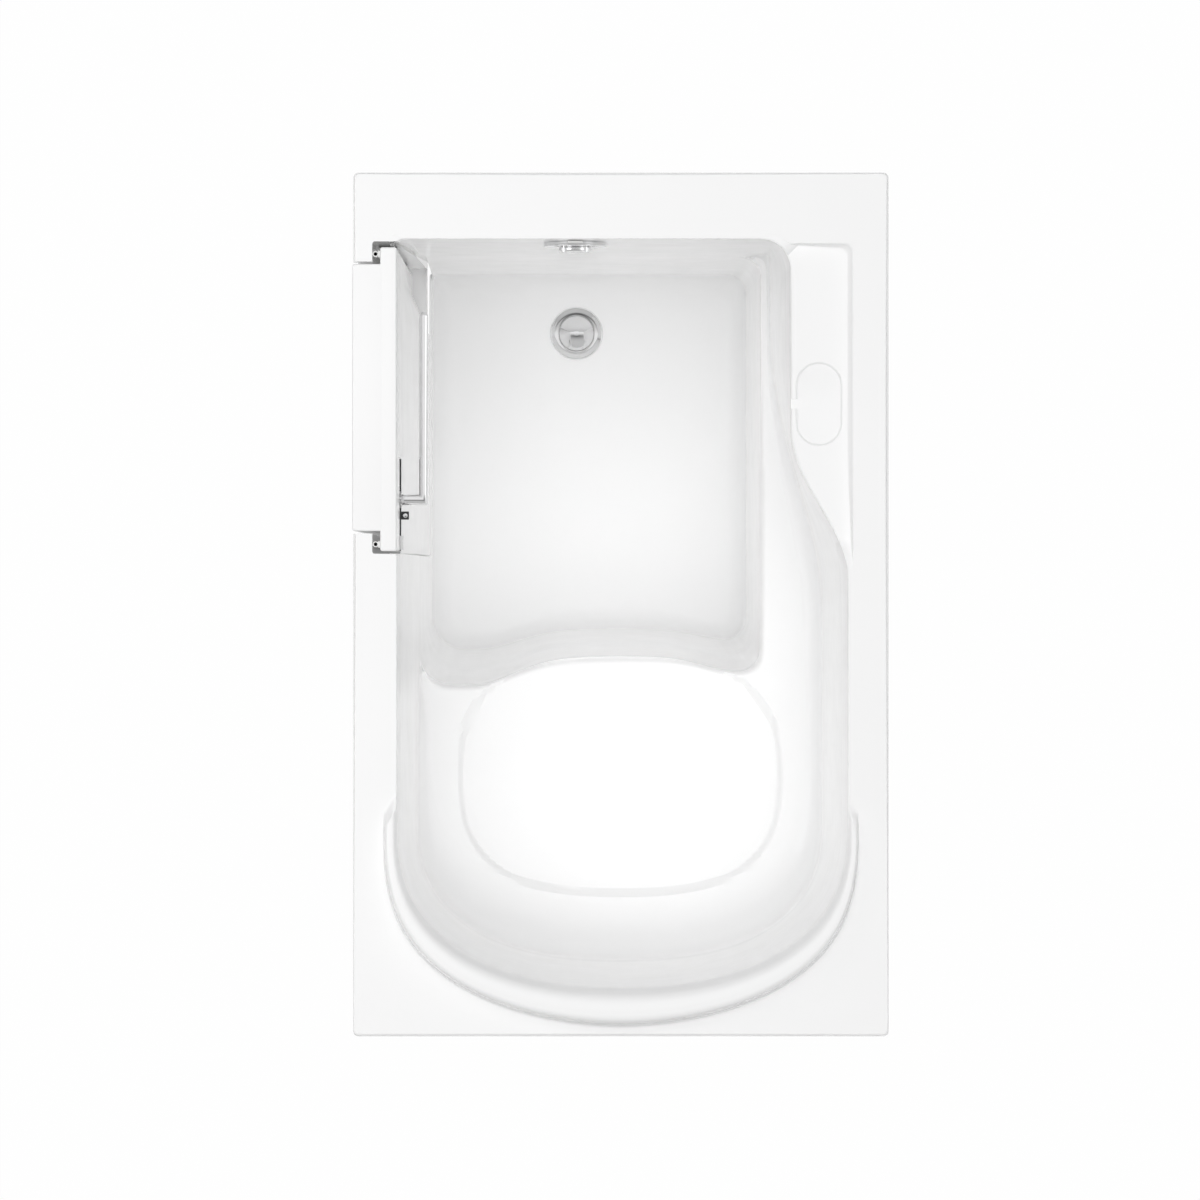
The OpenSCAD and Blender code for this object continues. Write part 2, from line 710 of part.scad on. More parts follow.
// Adjustable feet under the ends of the cross tubes.
foot_in = 45;
foot_xs = [-side_x + foot_in, side_x - foot_in];
foot_h = 14;
nut_h = 8;
module at_feet() {
    for (x = foot_xs) for (y = cross_ys) translate([x, y + tube_w / 2, 0]) children();
}
module foot_pads() {
    color("black")
        at_feet()
            difference() {
                rotate_extrude()
                    polygon([[0, 0], [foot_d / 2, 0], [foot_d / 2, 5], [rod_d / 2 + 5, 9],
                             [rod_d / 2 + 4, foot_h], [0, foot_h]]);
                translate([0, 0, 5]) cylinder(d = rod_d, h = foot_h);
            }
}
module foot_rods() {
    color("silver") at_feet() translate([0, 0, 5]) cylinder(d = rod_d, h = rail_z0 - 5 - tube_wall - 4);
}
module lock_nuts() {
    color("silver")
        at_feet()
            translate([0, 0, cross_z0 - nut_h])
                difference() {
                    cylinder(d = rod_d * 1.8, h = nut_h, $fn = 6);
                    translate([0, 0, -1]) cylinder(d = rod_d, h = nut_h + 2, $fn = 48);
                }
}

// The cover panels. The one on the door side is cut round the door's frame.
panel_z0 = 15;
panel_z1 = deck_under - 4;
module front_panel() {
    color("white")
        difference() {
            block([-side_x - panel_t, -end_y - panel_t, panel_z0], [-side_x, end_y + panel_t, panel_z1]);
            block([-side_x - panel_t - 1, frame_y0 - gap, frame_z0 - gap],
                  [-side_x + 1, frame_y1 + gap, panel_z1 + 1]);
        }
}
module end_panel() {
    color("white") block([-side_x, 0, panel_z0], [side_x, panel_t, panel_z1]);
}
module foot_panel() {
    translate([0, end_y, 0]) end_panel();
}
module back_panel() {
    translate([0, -end_y - panel_t, 0]) end_panel();
}

// Screws that hold the panels to the uprights.
head_d = 9;
head_t = 1.5;
screw_in = 100;
module panel_screws() {
    color("silver")
        for (z = [panel_z0 + screw_in, (panel_z0 + panel_z1) / 2, panel_z1 - screw_in]) {
            for (y = [cross_ys[0], cross_ys[2]])
                rod_x([-side_x - panel_t - head_t, y + tube_w / 2, z], head_d, head_t);
            for (x = [-side_x + post_w / 2, side_x - post_w / 2]) {
                rod_y([x, end_y + panel_t, z], head_d, head_t);
                rod_y([x, -end_y - panel_t - head_t, z], head_d, head_t);
            }
        }
}

// A block between two far corners, with the upright edges at X = face rounded.
module door_block(a, b, face) {
    other = face == a.x ? b.x : a.x;
    translate([0, 0, a.z])
        linear_extrude(b.z - a.z)
            polygon(concat(
                [[other, a.y]],
                corner([other, a.y], [face, a.y], [face, b.y], door_r),
                corner([face, a.y], [face, b.y], [other, b.y], door_r),
                [[other, b.y]]));
}

// The door's outer skin: a tray that opens towards the flange.
module door_body() {
    color("white")
        difference() {
            door_block([body_x0, body_y0, body_z0], [flange_x0, body_y1, rim_z], body_x0);
            block([body_x0 + door_wall, body_y0 + door_wall, body_z0 + door_wall],
                  [flange_x0 + 1, body_y1 - door_wall, rim_z - door_wall]);
        }
}

// The thick pad inside the flange that the latch is let into.
pad_x0 = plate_x0 - 5;
pad_z0 = bolt_z1 - bolt_h - 20;
pad_z1 = latch_z + pitch_r + 22;
plate_y0 = flange_y0;
plate_l = bolt_l + 4;
plate_z0 = bolt_z1 - bolt_h - 10;
plate_z1 = latch_z + pitch_r + 8;

// The door's inner flange: a closed moulding, open at the back where the body meets it.
module door_liner() {
    color("white")
        difference() {
            door_block([flange_x0, flange_y0, flange_z0], [flange_x1, flange_y1, rim_z], flange_x1);
            difference() {
                union() {
                    block([flange_x0 + door_wall, flange_y0 + door_wall, flange_z0 + door_wall],
                          [flange_x1 - door_wall, flange_y1 - door_wall, rim_z - door_wall]);
                    block([flange_x0 - 1, body_y0 + door_wall, body_z0 + door_wall],
                          [flange_x0 + door_wall + 1, body_y1 - door_wall, rim_z - door_wall]);
                }
                block([pad_x0, flange_y0, pad_z0], [flange_x1, plate_y0 + plate_l + 10, pad_z1]);
            }
            block([plate_x0, plate_y0 - 1, plate_z0], [flange_x1 + 1, plate_y0 + plate_l, plate_z1]);
            rod_x([pad_x0 - 1, spindle_y, latch_z], bush_d, plate_x0 - pad_x0 + 2);
            for (z = hinge_zs) knuckle(z - hinge_h / 2 - 3, hinge_h + 6, knuckle_d + 1.6);
        }
}

// The foam that fills the door.
module door_core() {
    color("khaki")
        difference() {
            union() {
                block([body_x0 + door_wall, body_y0 + door_wall, body_z0 + door_wall],
                      [flange_x0 + door_wall, body_y1 - door_wall, rim_z - door_wall]);
                block([flange_x0 + door_wall, flange_y0 + door_wall, flange_z0 + door_wall],
                      [flange_x1 - door_wall, flange_y1 - door_wall, rim_z - door_wall]);
            }
            block([pad_x0, flange_y0, pad_z0], [flange_x1, plate_y0 + plate_l + 10, pad_z1]);
            rod_x([pad_x0 - spindle_back - 6, spindle_y, latch_z], collar_d + 8, spindle_back + 7);
        }
}

// The bulb seal, down both sides and along the bottom, glued to the back of the flange.
seal_x = lip_x1 + 0.5 + seal_d / 2;
seal_in = 9.5;
seal_bend = 12;
seal_top = rim_z - 1;
seal_ys = [flange_y0 + seal_in, flange_y1 - seal_in];
seal_z = flange_z0 + seal_in;
seal_leaf = 9;
module seal_run(d, over) {
    for (y = seal_ys)
        rod_z([seal_x, y, seal_z + seal_bend], d, seal_top - seal_z - seal_bend + over);
    rod_y([seal_x, seal_ys[0] + seal_bend, seal_z], d, seal_ys[1] - seal_ys[0] - 2 * seal_bend);
    for (k = [[seal_ys[0] + seal_bend, 180], [seal_ys[1] - seal_bend, 270]])
        translate([seal_x, k[0], seal_z + seal_bend])
            rotate([90, 0, 90]) rotate([0, 0, k[1]])
                rotate_extrude(angle = 90) translate([seal_bend, 0]) circle(d = d);
}
module door_seal() {
    half = seal_leaf / 2;
    xa = seal_x + seal_d / 2 - 0.4;
    color("white")
        difference() {
            union() {
                seal_run(seal_d, 0);
                for (y = seal_ys)
                    block([xa, y - half, seal_z - half], [flange_x0, y + half, seal_top]);
                block([xa, seal_ys[0], seal_z - half], [flange_x0, seal_ys[1], seal_z + half]);
            }
            seal_run(seal_bore, 1);
        }
}

// Hinges: two outer knuckles on the jamb's leaf, one between them on the door's leaf.
knuckle_l = hinge_h / 3;
leaf_l = 22;
module knuckle(z, l, d) {
    rod_z([hinge_x, hinge_y, z], d, l);
}
module hinge_frame_leaves() {
    color("gray")
        for (z = hinge_zs)
            difference() {
                union() {
                    block([hinge_x - leaf_l, rebate_y1 - leaf_t, z - hinge_h / 2],
                          [hinge_x - 1, rebate_y1, z + hinge_h / 2]);
                    knuckle(z - hinge_h / 2, knuckle_l, knuckle_d);
                    knuckle(z + hinge_h / 6, knuckle_l, knuckle_d);
                }
                block([hinge_x - knuckle_d / 2 - gap, rebate_y1 - knuckle_d - 1, z - hinge_h / 6],
                      [hinge_x + 1, rebate_y1 + 1, z + hinge_h / 6]);
                knuckle(z - hinge_h / 2 - 1, hinge_h + 2, pin_d);
            }
}
module hinge_door_leaves() {
    color("gray")
        for (z = hinge_zs)
            difference() {
                union() {
                    block([flange_x0 + 1, flange_y1, z - hinge_h / 6 + gap],
                          [hinge_x, flange_y1 + leaf_t, z + hinge_h / 6 - gap]);
                    knuckle(z - hinge_h / 6 + gap, knuckle_l - 2 * gap, knuckle_d);
                }
                knuckle(z - hinge_h / 2, hinge_h, pin_d + 2 * run);
            }
}
module hinge_pins() {
    color("silver")
        for (z = hinge_zs) {
            knuckle(z - hinge_h / 2 - 1, hinge_h + 2, pin_d);
            knuckle(z + hinge_h / 2, 1.2, pin_d + 1.6);
        }
}

// The latch's plate, let into the flange.
bush_d = spindle_d + 4;
module latch_plate() {
    color("silver")
        difference() {
            block([plate_x0, plate_y0, plate_z0], [plate_x0 + plate_t, plate_y0 + plate_l, plate_z1]);
            rod_x([plate_x0 - 1, spindle_y, latch_z], bush_d, plate_t + 2);
        }
}

// The bush that carries the lever's spindle in the plate.
module spindle_bush() {
    color("black")
        difference() {
            rod_x([pad_x0, spindle_y, latch_z], bush_d, plate_x0 + plate_t - pad_x0);
            rod_x([pad_x0 - 1, spindle_y, latch_z], spindle_d + 2 * run, plate_x0 + plate_t - pad_x0 + 2);
        }
}

// The strap that keeps the bolt against the plate.
guide_l = 20;
guide_y0 = plate_y0 + 3;
module bolt_guide() {
    color("silver")
        difference() {
            block([plate_x0 + plate_t, guide_y0, bolt_z1 - bolt_h - 6],
                  [bolt_x1 + gap + 3, guide_y0 + guide_l, bolt_z1 + rack_down + rack_up + 4]);
            block([plate_x0 + plate_t - 1, guide_y0 - 1, bolt_z1 - bolt_h - gap],
                  [bolt_x1 + gap, guide_y0 + guide_l + 1, bolt_z1 + gap]);
        }
}

// The bolt: a flat bar with a bevelled nose and a rack on its upper edge.
module slide_bolt() {
    nose = 8;
    pitch = PI * tooth_module;
    half = (pitch / 2 - backlash) / 2;
    slope = tan(20);
    color("dimgray")
        translate([bolt_x0, 0, 0])
            rotate([90, 0, 90])
                linear_extrude(bolt_t) {
                    polygon([[bolt_y0, bolt_z1 - bolt_h + 4], [bolt_y0 + nose, bolt_z1 - bolt_h],
                             [bolt_y0 + bolt_l, bolt_z1 - bolt_h], [bolt_y0 + bolt_l, bolt_z1],
                             [bolt_y0 + nose, bolt_z1], [bolt_y0, bolt_z1 - 4]]);
                    for (k = [-1.5:1:3.5])
                        translate([spindle_y + k * pitch, bolt_z1])
                            polygon([[-half - rack_down * slope, -0.5], [half + rack_down * slope, -0.5],
                                     [half + rack_down * slope, 0],
                                     [half - rack_up * slope, rack_down + rack_up],
                                     [-half + rack_up * slope, rack_down + rack_up],
                                     [-half - rack_down * slope, 0]]);
                }
}

// The block at the bolt's middle that stops it against the guide, with its round screw.
stop_w = 11.5;
stop_t = 11;
stop_y0 = guide_y0 + guide_l + throw + 7;
module bolt_stop() {
    color("silver") {
        block([bolt_x1, stop_y0, bolt_z1 - bolt_h + 1], [bolt_x1 + stop_t, stop_y0 + stop_w, bolt_z1 - 1]);
        rod_x([bolt_x1 + stop_t, stop_y0 + stop_w / 2, bolt_z1 - bolt_h / 2], 6.5, 2.5);
    }
}

// Half the angle of a gear tooth at radius r, with involute sides from a 20 degree rack.
function inv(a) = tan(a) * 180 / PI - a;
function tooth_half(r) =
    let (base_r = pitch_r * cos(20), s = PI * tooth_module / 2 - backlash)
    s / (2 * pitch_r) * 180 / PI + inv(20) - inv(acos(min(1, base_r / r)));
module pinion() {
    tip_r = pitch_r + tooth_module;
    root_r = pitch_r - rack_up - 0.4;
    radii = [for (i = [0:4]) lerp(pitch_r * cos(20) + 0.01, tip_r, i / 4)];
    flank = [for (r = radii) r * [cos(tooth_half(r)), sin(tooth_half(r))]];
    foot = (root_r - 0.6) * [cos(tooth_half(radii[0])), sin(tooth_half(radii[0]))];
    side = concat([foot], flank);
    color("goldenrod")
        translate([bolt_x0, spindle_y, latch_z])
            rotate([90, 0, 90])
                difference() {
                    union() {
                        cylinder(r = root_r, h = bolt_t);
                        for (k = [0:pinion_teeth - 1])
                            rotate(k * 360 / pinion_teeth)
                                linear_extrude(bolt_t)
                                    polygon(concat(side, [for (i = [len(side) - 1:-1:0])
                                        [side[i].x, -side[i].y]]));
                    }
                    translate([0, 0, -1]) cylinder(d = spindle_d, h = bolt_t + 2);
                }
}

// The spindle, with a collar behind the pad.
bar_x0 = flange_x1 + lever_off;
bar_x1 = bar_x0 + lever_w;
stem_x0 = bolt_x1 + gap;
spindle_x1 = bar_x0 - 2;
spindle_back = 8;
collar_d = spindle_d + 6;
module latch_spindle() {
    color("silver") {
        rod_x([pad_x0 - spindle_back, spindle_y, latch_z], spindle_d, spindle_x1 - pad_x0 + spindle_back);
        rod_x([pad_x0 - 3, spindle_y, latch_z], collar_d, 3 - gap);
    }
}

// The lever, level while the door is free: a bar that turns a mitred corner, and from there
// tapers in height to a round end.
module lever() {
    stem_w = lever_w + 2;
    near = spindle_y - stem_w / 2;
    far = spindle_y + stem_w / 2;
    tip = spindle_y + lever_l;
    tip_h = lever_h * 0.6;
    tip_r = lever_w * 0.4;
    color("silver")
        difference() {
            intersection() {
                translate([0, 0, latch_z - lever_h / 2])
                    linear_extrude(lever_h)
                        polygon(concat(
                            [[stem_x0, near]],
                            corner([stem_x0, near], [bar_x1, near], [bar_x1, tip], 1.5, 2),
                            corner([bar_x1, near], [bar_x1, tip], [bar_x0, tip], tip_r),
                            corner([bar_x1, tip], [bar_x0, tip], [bar_x0, near], tip_r),
                            [[bar_x0, far], [stem_x0, far]]));
                translate([stem_x0 - 1, 0, 0])
                    rotate([90, 0, 90])
                        linear_extrude(bar_x1 - stem_x0 + 2) {
                            translate([tip - tip_h / 2, latch_z]) circle(d = tip_h);
                            polygon([[near - 1, latch_z - lever_h / 2], [far, latch_z - lever_h / 2],
                                     [tip - tip_h / 2, latch_z - tip_h / 2],
                                     [tip - tip_h / 2, latch_z + tip_h / 2],
                                     [far, latch_z + lever_h / 2], [near - 1, latch_z + lever_h / 2]]);
                        }
            }
            rod_x([stem_x0 - 1, spindle_y, latch_z], spindle_d, spindle_x1 - stem_x0 + 1);
        }
}

// The waste in the floor: flange, body, hub with its three arms, and the plug.
flange_rise = 3;
flange_dish = 1.8;
body_z = board_z0 - 4;
hub_d = 14;
hub_h = 8;
hub_z = well_z - 20;
spoke_w = 3;
stem_d = 8;
module waste_flange() {
    color("silver")
        translate([waste_at.x, waste_at.y, well_z])
            rotate_extrude()
                polygon([[waste_bore / 2, 0], [waste_d / 2, 0], [waste_d / 2 - 0.5, flange_rise - 1.2],
                         [waste_d / 2 - 2, flange_rise], [waste_bore / 2 + 2, flange_rise - flange_dish],
                         [waste_bore / 2, flange_rise - flange_dish - 0.5]]);
}
module waste_body() {
    color("silver")
        translate([waste_at.x, waste_at.y, 0])
            rotate_extrude()
                polygon([[waste_bore / 2, body_z], [waste_bore / 2 + pipe_wall, body_z],
                         [waste_bore / 2 + pipe_wall, well_z], [waste_bore / 2, well_z]]);
}
module waste_hub() {
    color("silver")
        translate([waste_at.x, waste_at.y, hub_z])
            difference() {
                union() {
                    cylinder(d = hub_d, h = hub_h);
                    for (a = [90, 210, 330])
                        rotate(a) block([0, -spoke_w / 2, 0], [waste_bore / 2 - 0.2, spoke_w / 2, hub_h]);
                }
                translate([0, 0, -1]) cylinder(d = stem_d + 2 * run, h = hub_h + 2);
            }
}
module plug() {
    rise = 7.5;
    low = well_z + flange_rise - flange_dish + gap + 0.2;
    color("silver")
        translate([waste_at.x, waste_at.y, 0]) {
            rotate_extrude()
                polygon(concat([[0, low], [plug_d / 2, low]],
                    [for (a = [0:10:90]) [plug_d / 2 * cos(a), low + 1 + (rise - 1) * sin(a)]]));
            rod_z([0, 0, hub_z - plug_lift], stem_d, low + 0.5 - hub_z + plug_lift);
        }
}

// The trap hangs from the waste body and empties to the wall side.
trap_d = 96;
trap_z0 = 34;
spigot_z = trap_z0 + spigot_d / 2 + 4;
spigot_in = 113;
spigot_x1 = x1 - spigot_in;
outlet_d = spigot_d + 4;
nut_l = 22;
nut_d = outlet_d + 11;
module trap() {
    inner = trap_d / 2 - pipe_wall;
    color("white")
        difference() {
            translate([waste_at.x, waste_at.y, 0])
                rotate_extrude()
                    polygon([[0, trap_z0], [trap_d / 2, trap_z0], [trap_d / 2, body_z - 8],
                             [waste_bore / 2 + pipe_wall + 4, body_z], [waste_bore / 2, body_z],
                             [waste_bore / 2, body_z - pipe_wall], [inner, body_z - 8 - pipe_wall],
                             [inner, trap_z0 + pipe_wall], [0, trap_z0 + pipe_wall]]);
            rod_x([waste_at.x, waste_at.y, spigot_z], outlet_d, trap_d);
            rod_y([overflow_x, waste_at.y, drop_z], pipe_d, trap_d);
        }
}

// The outlet: a pipe from the trap, a union nut with flutes, and the plain spigot that a waste
// pipe is pushed on.
module outlet_pipe() {
    flute_d = 5;
    from = waste_at.x + sqrt(pow(trap_d / 2, 2) - pow(outlet_d / 2, 2)) - pipe_wall;
    shoulder = spigot_x1 - spigot_l;
    color("white")
        difference() {
            union() {
                rod_x([from, waste_at.y, spigot_z], outlet_d, shoulder - from);
                rod_x([shoulder - 1, waste_at.y, spigot_z], spigot_d, spigot_l + 1);
                translate([shoulder - nut_l, waste_at.y, spigot_z])
                    rotate([0, 90, 0])
                        difference() {
                            cylinder(d = nut_d, h = nut_l);
                            for (a = [0:30:359])
                                rotate(a)
                                    translate([nut_d / 2 + flute_d * 0.34, 0, 3])
                                        cylinder(d = flute_d, h = nut_l - 6, $fn = 12);
                        }
            }
            rod_x([from - 1, waste_at.y, spigot_z], spigot_d - 2 * pipe_wall, spigot_x1 - from + 2);
        }
}

// The overflow: bush through the wall, elbow behind it, and a pipe down to the trap.
drop_y = cross_ys[2] - pipe_d / 2 - 2;
drop_z = trap_z0 + pipe_d / 2 + 10;
elbow_w = pipe_d + 2 * pipe_wall;
module overflow_elbow() {
    socket_l = 12;
    back = wall_y + 1.2 * shell_t + 1.5;
    color("white")
        difference() {
            union() {
                rod_z([overflow_x, drop_y, overflow_z - elbow_w / 2 - socket_l],
                      elbow_w, elbow_w + socket_l);
                rod_y([overflow_x, back, overflow_z], neck_d + 14, 3);
                rod_y([overflow_x, back, overflow_z], elbow_w - 2, drop_y - back);
            }
            rod_z([overflow_x, drop_y, overflow_z - elbow_w], pipe_d, elbow_w + 6);
            rod_y([overflow_x, back - 1, overflow_z], neck_d, drop_y - back + 1);
        }
}
module overflow_pipe() {
    r = 30;
    from = waste_at.y + sqrt(pow(trap_d / 2, 2) - pow(pipe_d / 2, 2)) - pipe_wall;
    module path(d, over) {
        rod_z([overflow_x, drop_y, drop_z + r], d, overflow_z - elbow_w / 2 + 4 - drop_z - r + over);
        rod_y([overflow_x, from - over, drop_z], d, drop_y - r - from + over);
        translate([overflow_x, drop_y - r, drop_z + r])
            rotate([0, 90, 0])
                rotate_extrude(angle = 90) translate([r, 0]) circle(d = d);
    }
    color("white")
        difference() {
            path(pipe_d, 0);
            path(pipe_d - 2 * pipe_wall, 1);
        }
}

// The overflow's bush, its faceplate, and the knob that works the plug.
neck_l = 3;
bush_l = 20;
face_t = 2.5;
knob_d = 46;
knob_t = 7;
grip_d = 8;
shaft_d = 8;
module overflow_bush() {
    color("silver")
        difference() {
            rod_y([overflow_x, wall_y - neck_l, overflow_z], neck_d, neck_l + bush_l);
            rod_y([overflow_x, wall_y - neck_l - 1, overflow_z], shaft_d + 2 * run, neck_l + bush_l + 2);
        }
}
module overflow_face() {
    y = wall_y - neck_l - face_t;
    color("silver")
        translate([overflow_x, y, overflow_z])
            rotate([-90, 0, 0])
                rotate_extrude()
                    polygon([[shaft_d / 2 + run, 0], [face_d / 2 - 3, 0], [face_d / 2, face_t],
                             [shaft_d / 2 + run, face_t]]);
}
module overflow_knob() {
    y = wall_y - neck_l - face_t - gap - knob_t;
    reach = knob_d / 2 + 2.5;
    color("silver") {
        difference() {
            rod_y([overflow_x, y, overflow_z], knob_d, knob_t);
            for (a = [0:45:359])
                rod_y([overflow_x + reach * cos(a), y - 1, overflow_z + reach * sin(a)],
                      grip_d, knob_t + 2);
        }
        rod_y([overflow_x, y + 1, overflow_z], shaft_d, knob_t + gap + face_t + neck_l + bush_l - 2);
    }
}

bath_shell();
door_frame();
front_panel();
foot_panel();
back_panel();
base_rails();
cross_tubes();
uprights();
wall_rail();
wall_brackets();
seat_posts();
seat_bearers();
floor_board();
seat_board();
foot_pads();
foot_rods();
lock_nuts();
panel_screws();
door_body();
door_liner();
door_core();
door_seal();
hinge_frame_leaves();
hinge_door_leaves();
hinge_pins();
latch_plate();
bolt_guide();
spindle_bush();
slide_bolt();
bolt_stop();
pinion();
latch_spindle();
lever();
bolt_keeper();
strike_plate();
waste_flange();
waste_body();
waste_hub();
plug();
trap();
outlet_pipe();
overflow_elbow();
overflow_pipe();
overflow_bush();
overflow_face();
overflow_knob();
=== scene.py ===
import json
import math

import bmesh
import bpy
from mathutils import Matrix, Vector


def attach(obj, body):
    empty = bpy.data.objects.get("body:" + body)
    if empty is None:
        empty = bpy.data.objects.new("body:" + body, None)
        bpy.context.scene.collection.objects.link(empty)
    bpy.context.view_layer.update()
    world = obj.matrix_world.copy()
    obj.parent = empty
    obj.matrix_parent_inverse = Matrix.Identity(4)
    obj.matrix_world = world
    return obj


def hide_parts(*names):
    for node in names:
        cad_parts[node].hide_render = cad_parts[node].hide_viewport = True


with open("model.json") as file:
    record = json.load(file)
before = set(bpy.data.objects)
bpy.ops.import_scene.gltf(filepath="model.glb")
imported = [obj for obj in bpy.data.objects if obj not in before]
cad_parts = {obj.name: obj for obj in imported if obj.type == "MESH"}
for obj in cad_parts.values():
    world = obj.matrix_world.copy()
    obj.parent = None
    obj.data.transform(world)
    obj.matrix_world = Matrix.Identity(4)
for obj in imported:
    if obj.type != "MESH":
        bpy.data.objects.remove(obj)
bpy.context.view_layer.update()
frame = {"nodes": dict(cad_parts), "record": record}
nodes = frame["nodes"]
print("stage: frame loaded,", len(nodes), "nodes")


# A wrapper round a shader socket, so that a pattern reads as a formula.
class Sock:
    def __init__(self, tree, socket):
        self.tree = tree
        self.socket = socket

    def math(self, operation, other):
        return self.tree.node("ShaderNodeMath", {"operation": operation}, [self, other])

    def __add__(self, other):
        return self.math("ADD", other)

    def __sub__(self, other):
        return self.math("SUBTRACT", other)

    def __mul__(self, other):
        return self.math("MULTIPLY", other)

    def __truediv__(self, other):
        return self.math("DIVIDE", other)


class Shading:
    def __init__(self, tree):
        self.nodes = tree.nodes
        self.links = tree.links

    def node(self, kind, settings=None, values=(), output=0):
        made = self.nodes.new(kind)
        for name, value in (settings or {}).items():
            if name == "stops":
                ramp = made.color_ramp.elements
                while len(ramp) < len(value):
                    ramp.new(0.5)
                for stop, (place, colour) in zip(ramp, value):
                    stop.position = place
                    stop.color = (*colour, 1)
            else:
                setattr(made, name, value)
        pairs = values.items() if isinstance(values, dict) else enumerate(values)
        for key, value in pairs:
            if isinstance(value, Sock):
                self.links.new(value.socket, made.inputs[key])
            else:
                made.inputs[key].default_value = value
        return Sock(self, made.outputs[output])

    def place(self, scale=(1, 1, 1)):
        coords = self.node("ShaderNodeTexCoord", output="Object")
        return self.node("ShaderNodeMapping", values={"Vector": coords, "Scale": scale})

    def noise(self, size, detail=2.0, where=None, rough=0.5):
        where = where or self.place()
        return self.node("ShaderNodeTexNoise", {"noise_dimensions": "3D"},
                         {"Vector": where, "Scale": size, "Detail": detail, "Roughness": rough})

    def ramp(self, value, stops):
        return self.node("ShaderNodeValToRGB", {"stops": stops}, {"Fac": value})

    def ease(self, value, start, end):
        return self.node("ShaderNodeMapRange", {"interpolation_type": "SMOOTHSTEP"},
                         {"Value": value, "From Min": start, "From Max": end})

    def rays(self, *kinds):
        return [self.node("ShaderNodeLightPath", output=f"Is {kind} Ray") for kind in kinds]


class Finish(Shading):
    def __init__(self, name, **fixed):
        self.material = bpy.data.materials.new(name)
        self.material.use_nodes = True
        super().__init__(self.material.node_tree)
        self.shader = self.nodes["Principled BSDF"]
        for socket, value in fixed.items():
            self.shader.inputs[socket.replace("_", " ")].default_value = value

    def feed(self, socket, value):
        self.links.new(value.socket, self.shader.inputs[socket])
        return self

    def bump(self, height, depth):
        normal = self.node("ShaderNodeBump", values={"Height": height, "Distance": depth, "Strength": 1.0})
        return self.feed("Normal", normal)


def grey(value, tint=(1.0, 1.0, 1.0)):
    return tuple(value * t for t in tint)


# Gloss acrylic: nearly even white, with the faint orange peel of a vacuum-formed sheet. The faint
# glow is painted light: an emission that lifts the shade inside the basin and the other hollows.
def acrylicFinish(name, light=0.968):
    look = Finish(name, Coat_Weight=0.1, Coat_Roughness=0.1, IOR=1.47,
                  Emission_Color=(1, 1, 1, 1), Emission_Strength=0.045)
    drift = look.noise(3.0, 2.0)
    look.feed("Base Color", look.ramp(drift, [(0.3, grey(light * 0.985)), (0.7, grey(light))]))
    look.feed("Roughness", look.noise(18.0, 3.0) * 0.06 + 0.15)
    look.bump(look.noise(55.0, 1.0), 0.00012)
    return look.material


# The unfinished back of the moulding: glass-fibre mat under rolled resin.
def laminateFinish():
    look = Finish("glassFibreBack")
    mat = look.noise(160.0, 6.0, look.place((1, 1, 0.35)), 0.7)
    cloud = look.noise(7.0, 3.0)
    look.feed("Base Color", look.ramp(mat * 0.6 + cloud * 0.4, [
        (0.3, (0.42, 0.4, 0.32)), (0.55, (0.62, 0.6, 0.5)), (0.75, (0.74, 0.73, 0.64))]))
    look.feed("Roughness", mat * 0.3 + 0.4)
    look.bump(mat, 0.0012)
    return look.material


def chromeFinish(name, light=0.93, rough=0.05):
    look = Finish(name, Metallic=1.0, Specular_IOR_Level=0.5)
    smear = look.noise(40.0, 3.0)
    look.feed("Base Color", look.ramp(smear, [
        (0.3, grey(light * 0.97)), (0.7, grey(light, (1.0, 1.0, 1.01)))]))
    look.feed("Roughness", smear * 0.05 + (rough - 0.02))
    return look.material


# Drawn steel: fine lines along one axis.
def brushedFinish(name, light=0.5, rough=0.3, along=(1, 1, 0.03)):
    look = Finish(name, Metallic=1.0)
    lines = look.noise(900.0, 2.0, look.place(along))
    cloud = look.noise(20.0, 3.0)
    look.feed("Base Color", look.ramp(lines * 0.6 + cloud * 0.4, [
        (0.3, grey(light * 0.8)), (0.7, grey(light))]))
    look.feed("Roughness", lines * 0.15 + cloud * 0.1 + (rough - 0.1))
    look.bump(lines, 0.00004)
    return look.material


# Galvanised or powder-coated tube of the support frame.
def coatedTubeFinish():
    look = Finish("coatedTube", Coat_Weight=0.1)
    peel = look.noise(420.0, 2.0)
    cloud = look.noise(9.0, 3.0)
    look.feed("Base Color", look.ramp(cloud, [(0.3, (0.3, 0.32, 0.33)), (0.7, (0.37, 0.39, 0.4))]))
    look.feed("Roughness", peel * 0.15 + 0.42)
    look.bump(peel, 0.0001)
    return look.material


def darkSteelFinish():
    look = Finish("darkenedSteel", Metallic=0.7)
    cloud = look.noise(60.0, 4.0)
    look.feed("Base Color", look.ramp(cloud, [(0.3, grey(0.05)), (0.75, grey(0.11))]))
    look.feed("Roughness", cloud * 0.2 + 0.32)
    look.bump(cloud, 0.00005)
    return look.material


# Plywood: plies on the edges, long grain on the faces.
def plywoodFinish():
    look = Finish("plywood")
    grain = look.noise(30.0, 5.0, look.place((0.12, 1.6, 1.6)), 0.6)
    plies = look.node("ShaderNodeTexWave", {"wave_type": "BANDS", "bands_direction": "Z"},
                      {"Vector": look.place(), "Scale": 66.0, "Distortion": 0.4, "Detail": 1.0})
    look.feed("Base Color", look.ramp(grain * 0.7 + plies * 0.3, [
        (0.25, (0.36, 0.22, 0.1)), (0.5, (0.55, 0.38, 0.2)), (0.75, (0.68, 0.52, 0.32))]))
    look.feed("Roughness", grain * 0.2 + 0.55)
    look.bump(grain, 0.0003)
    return look.material


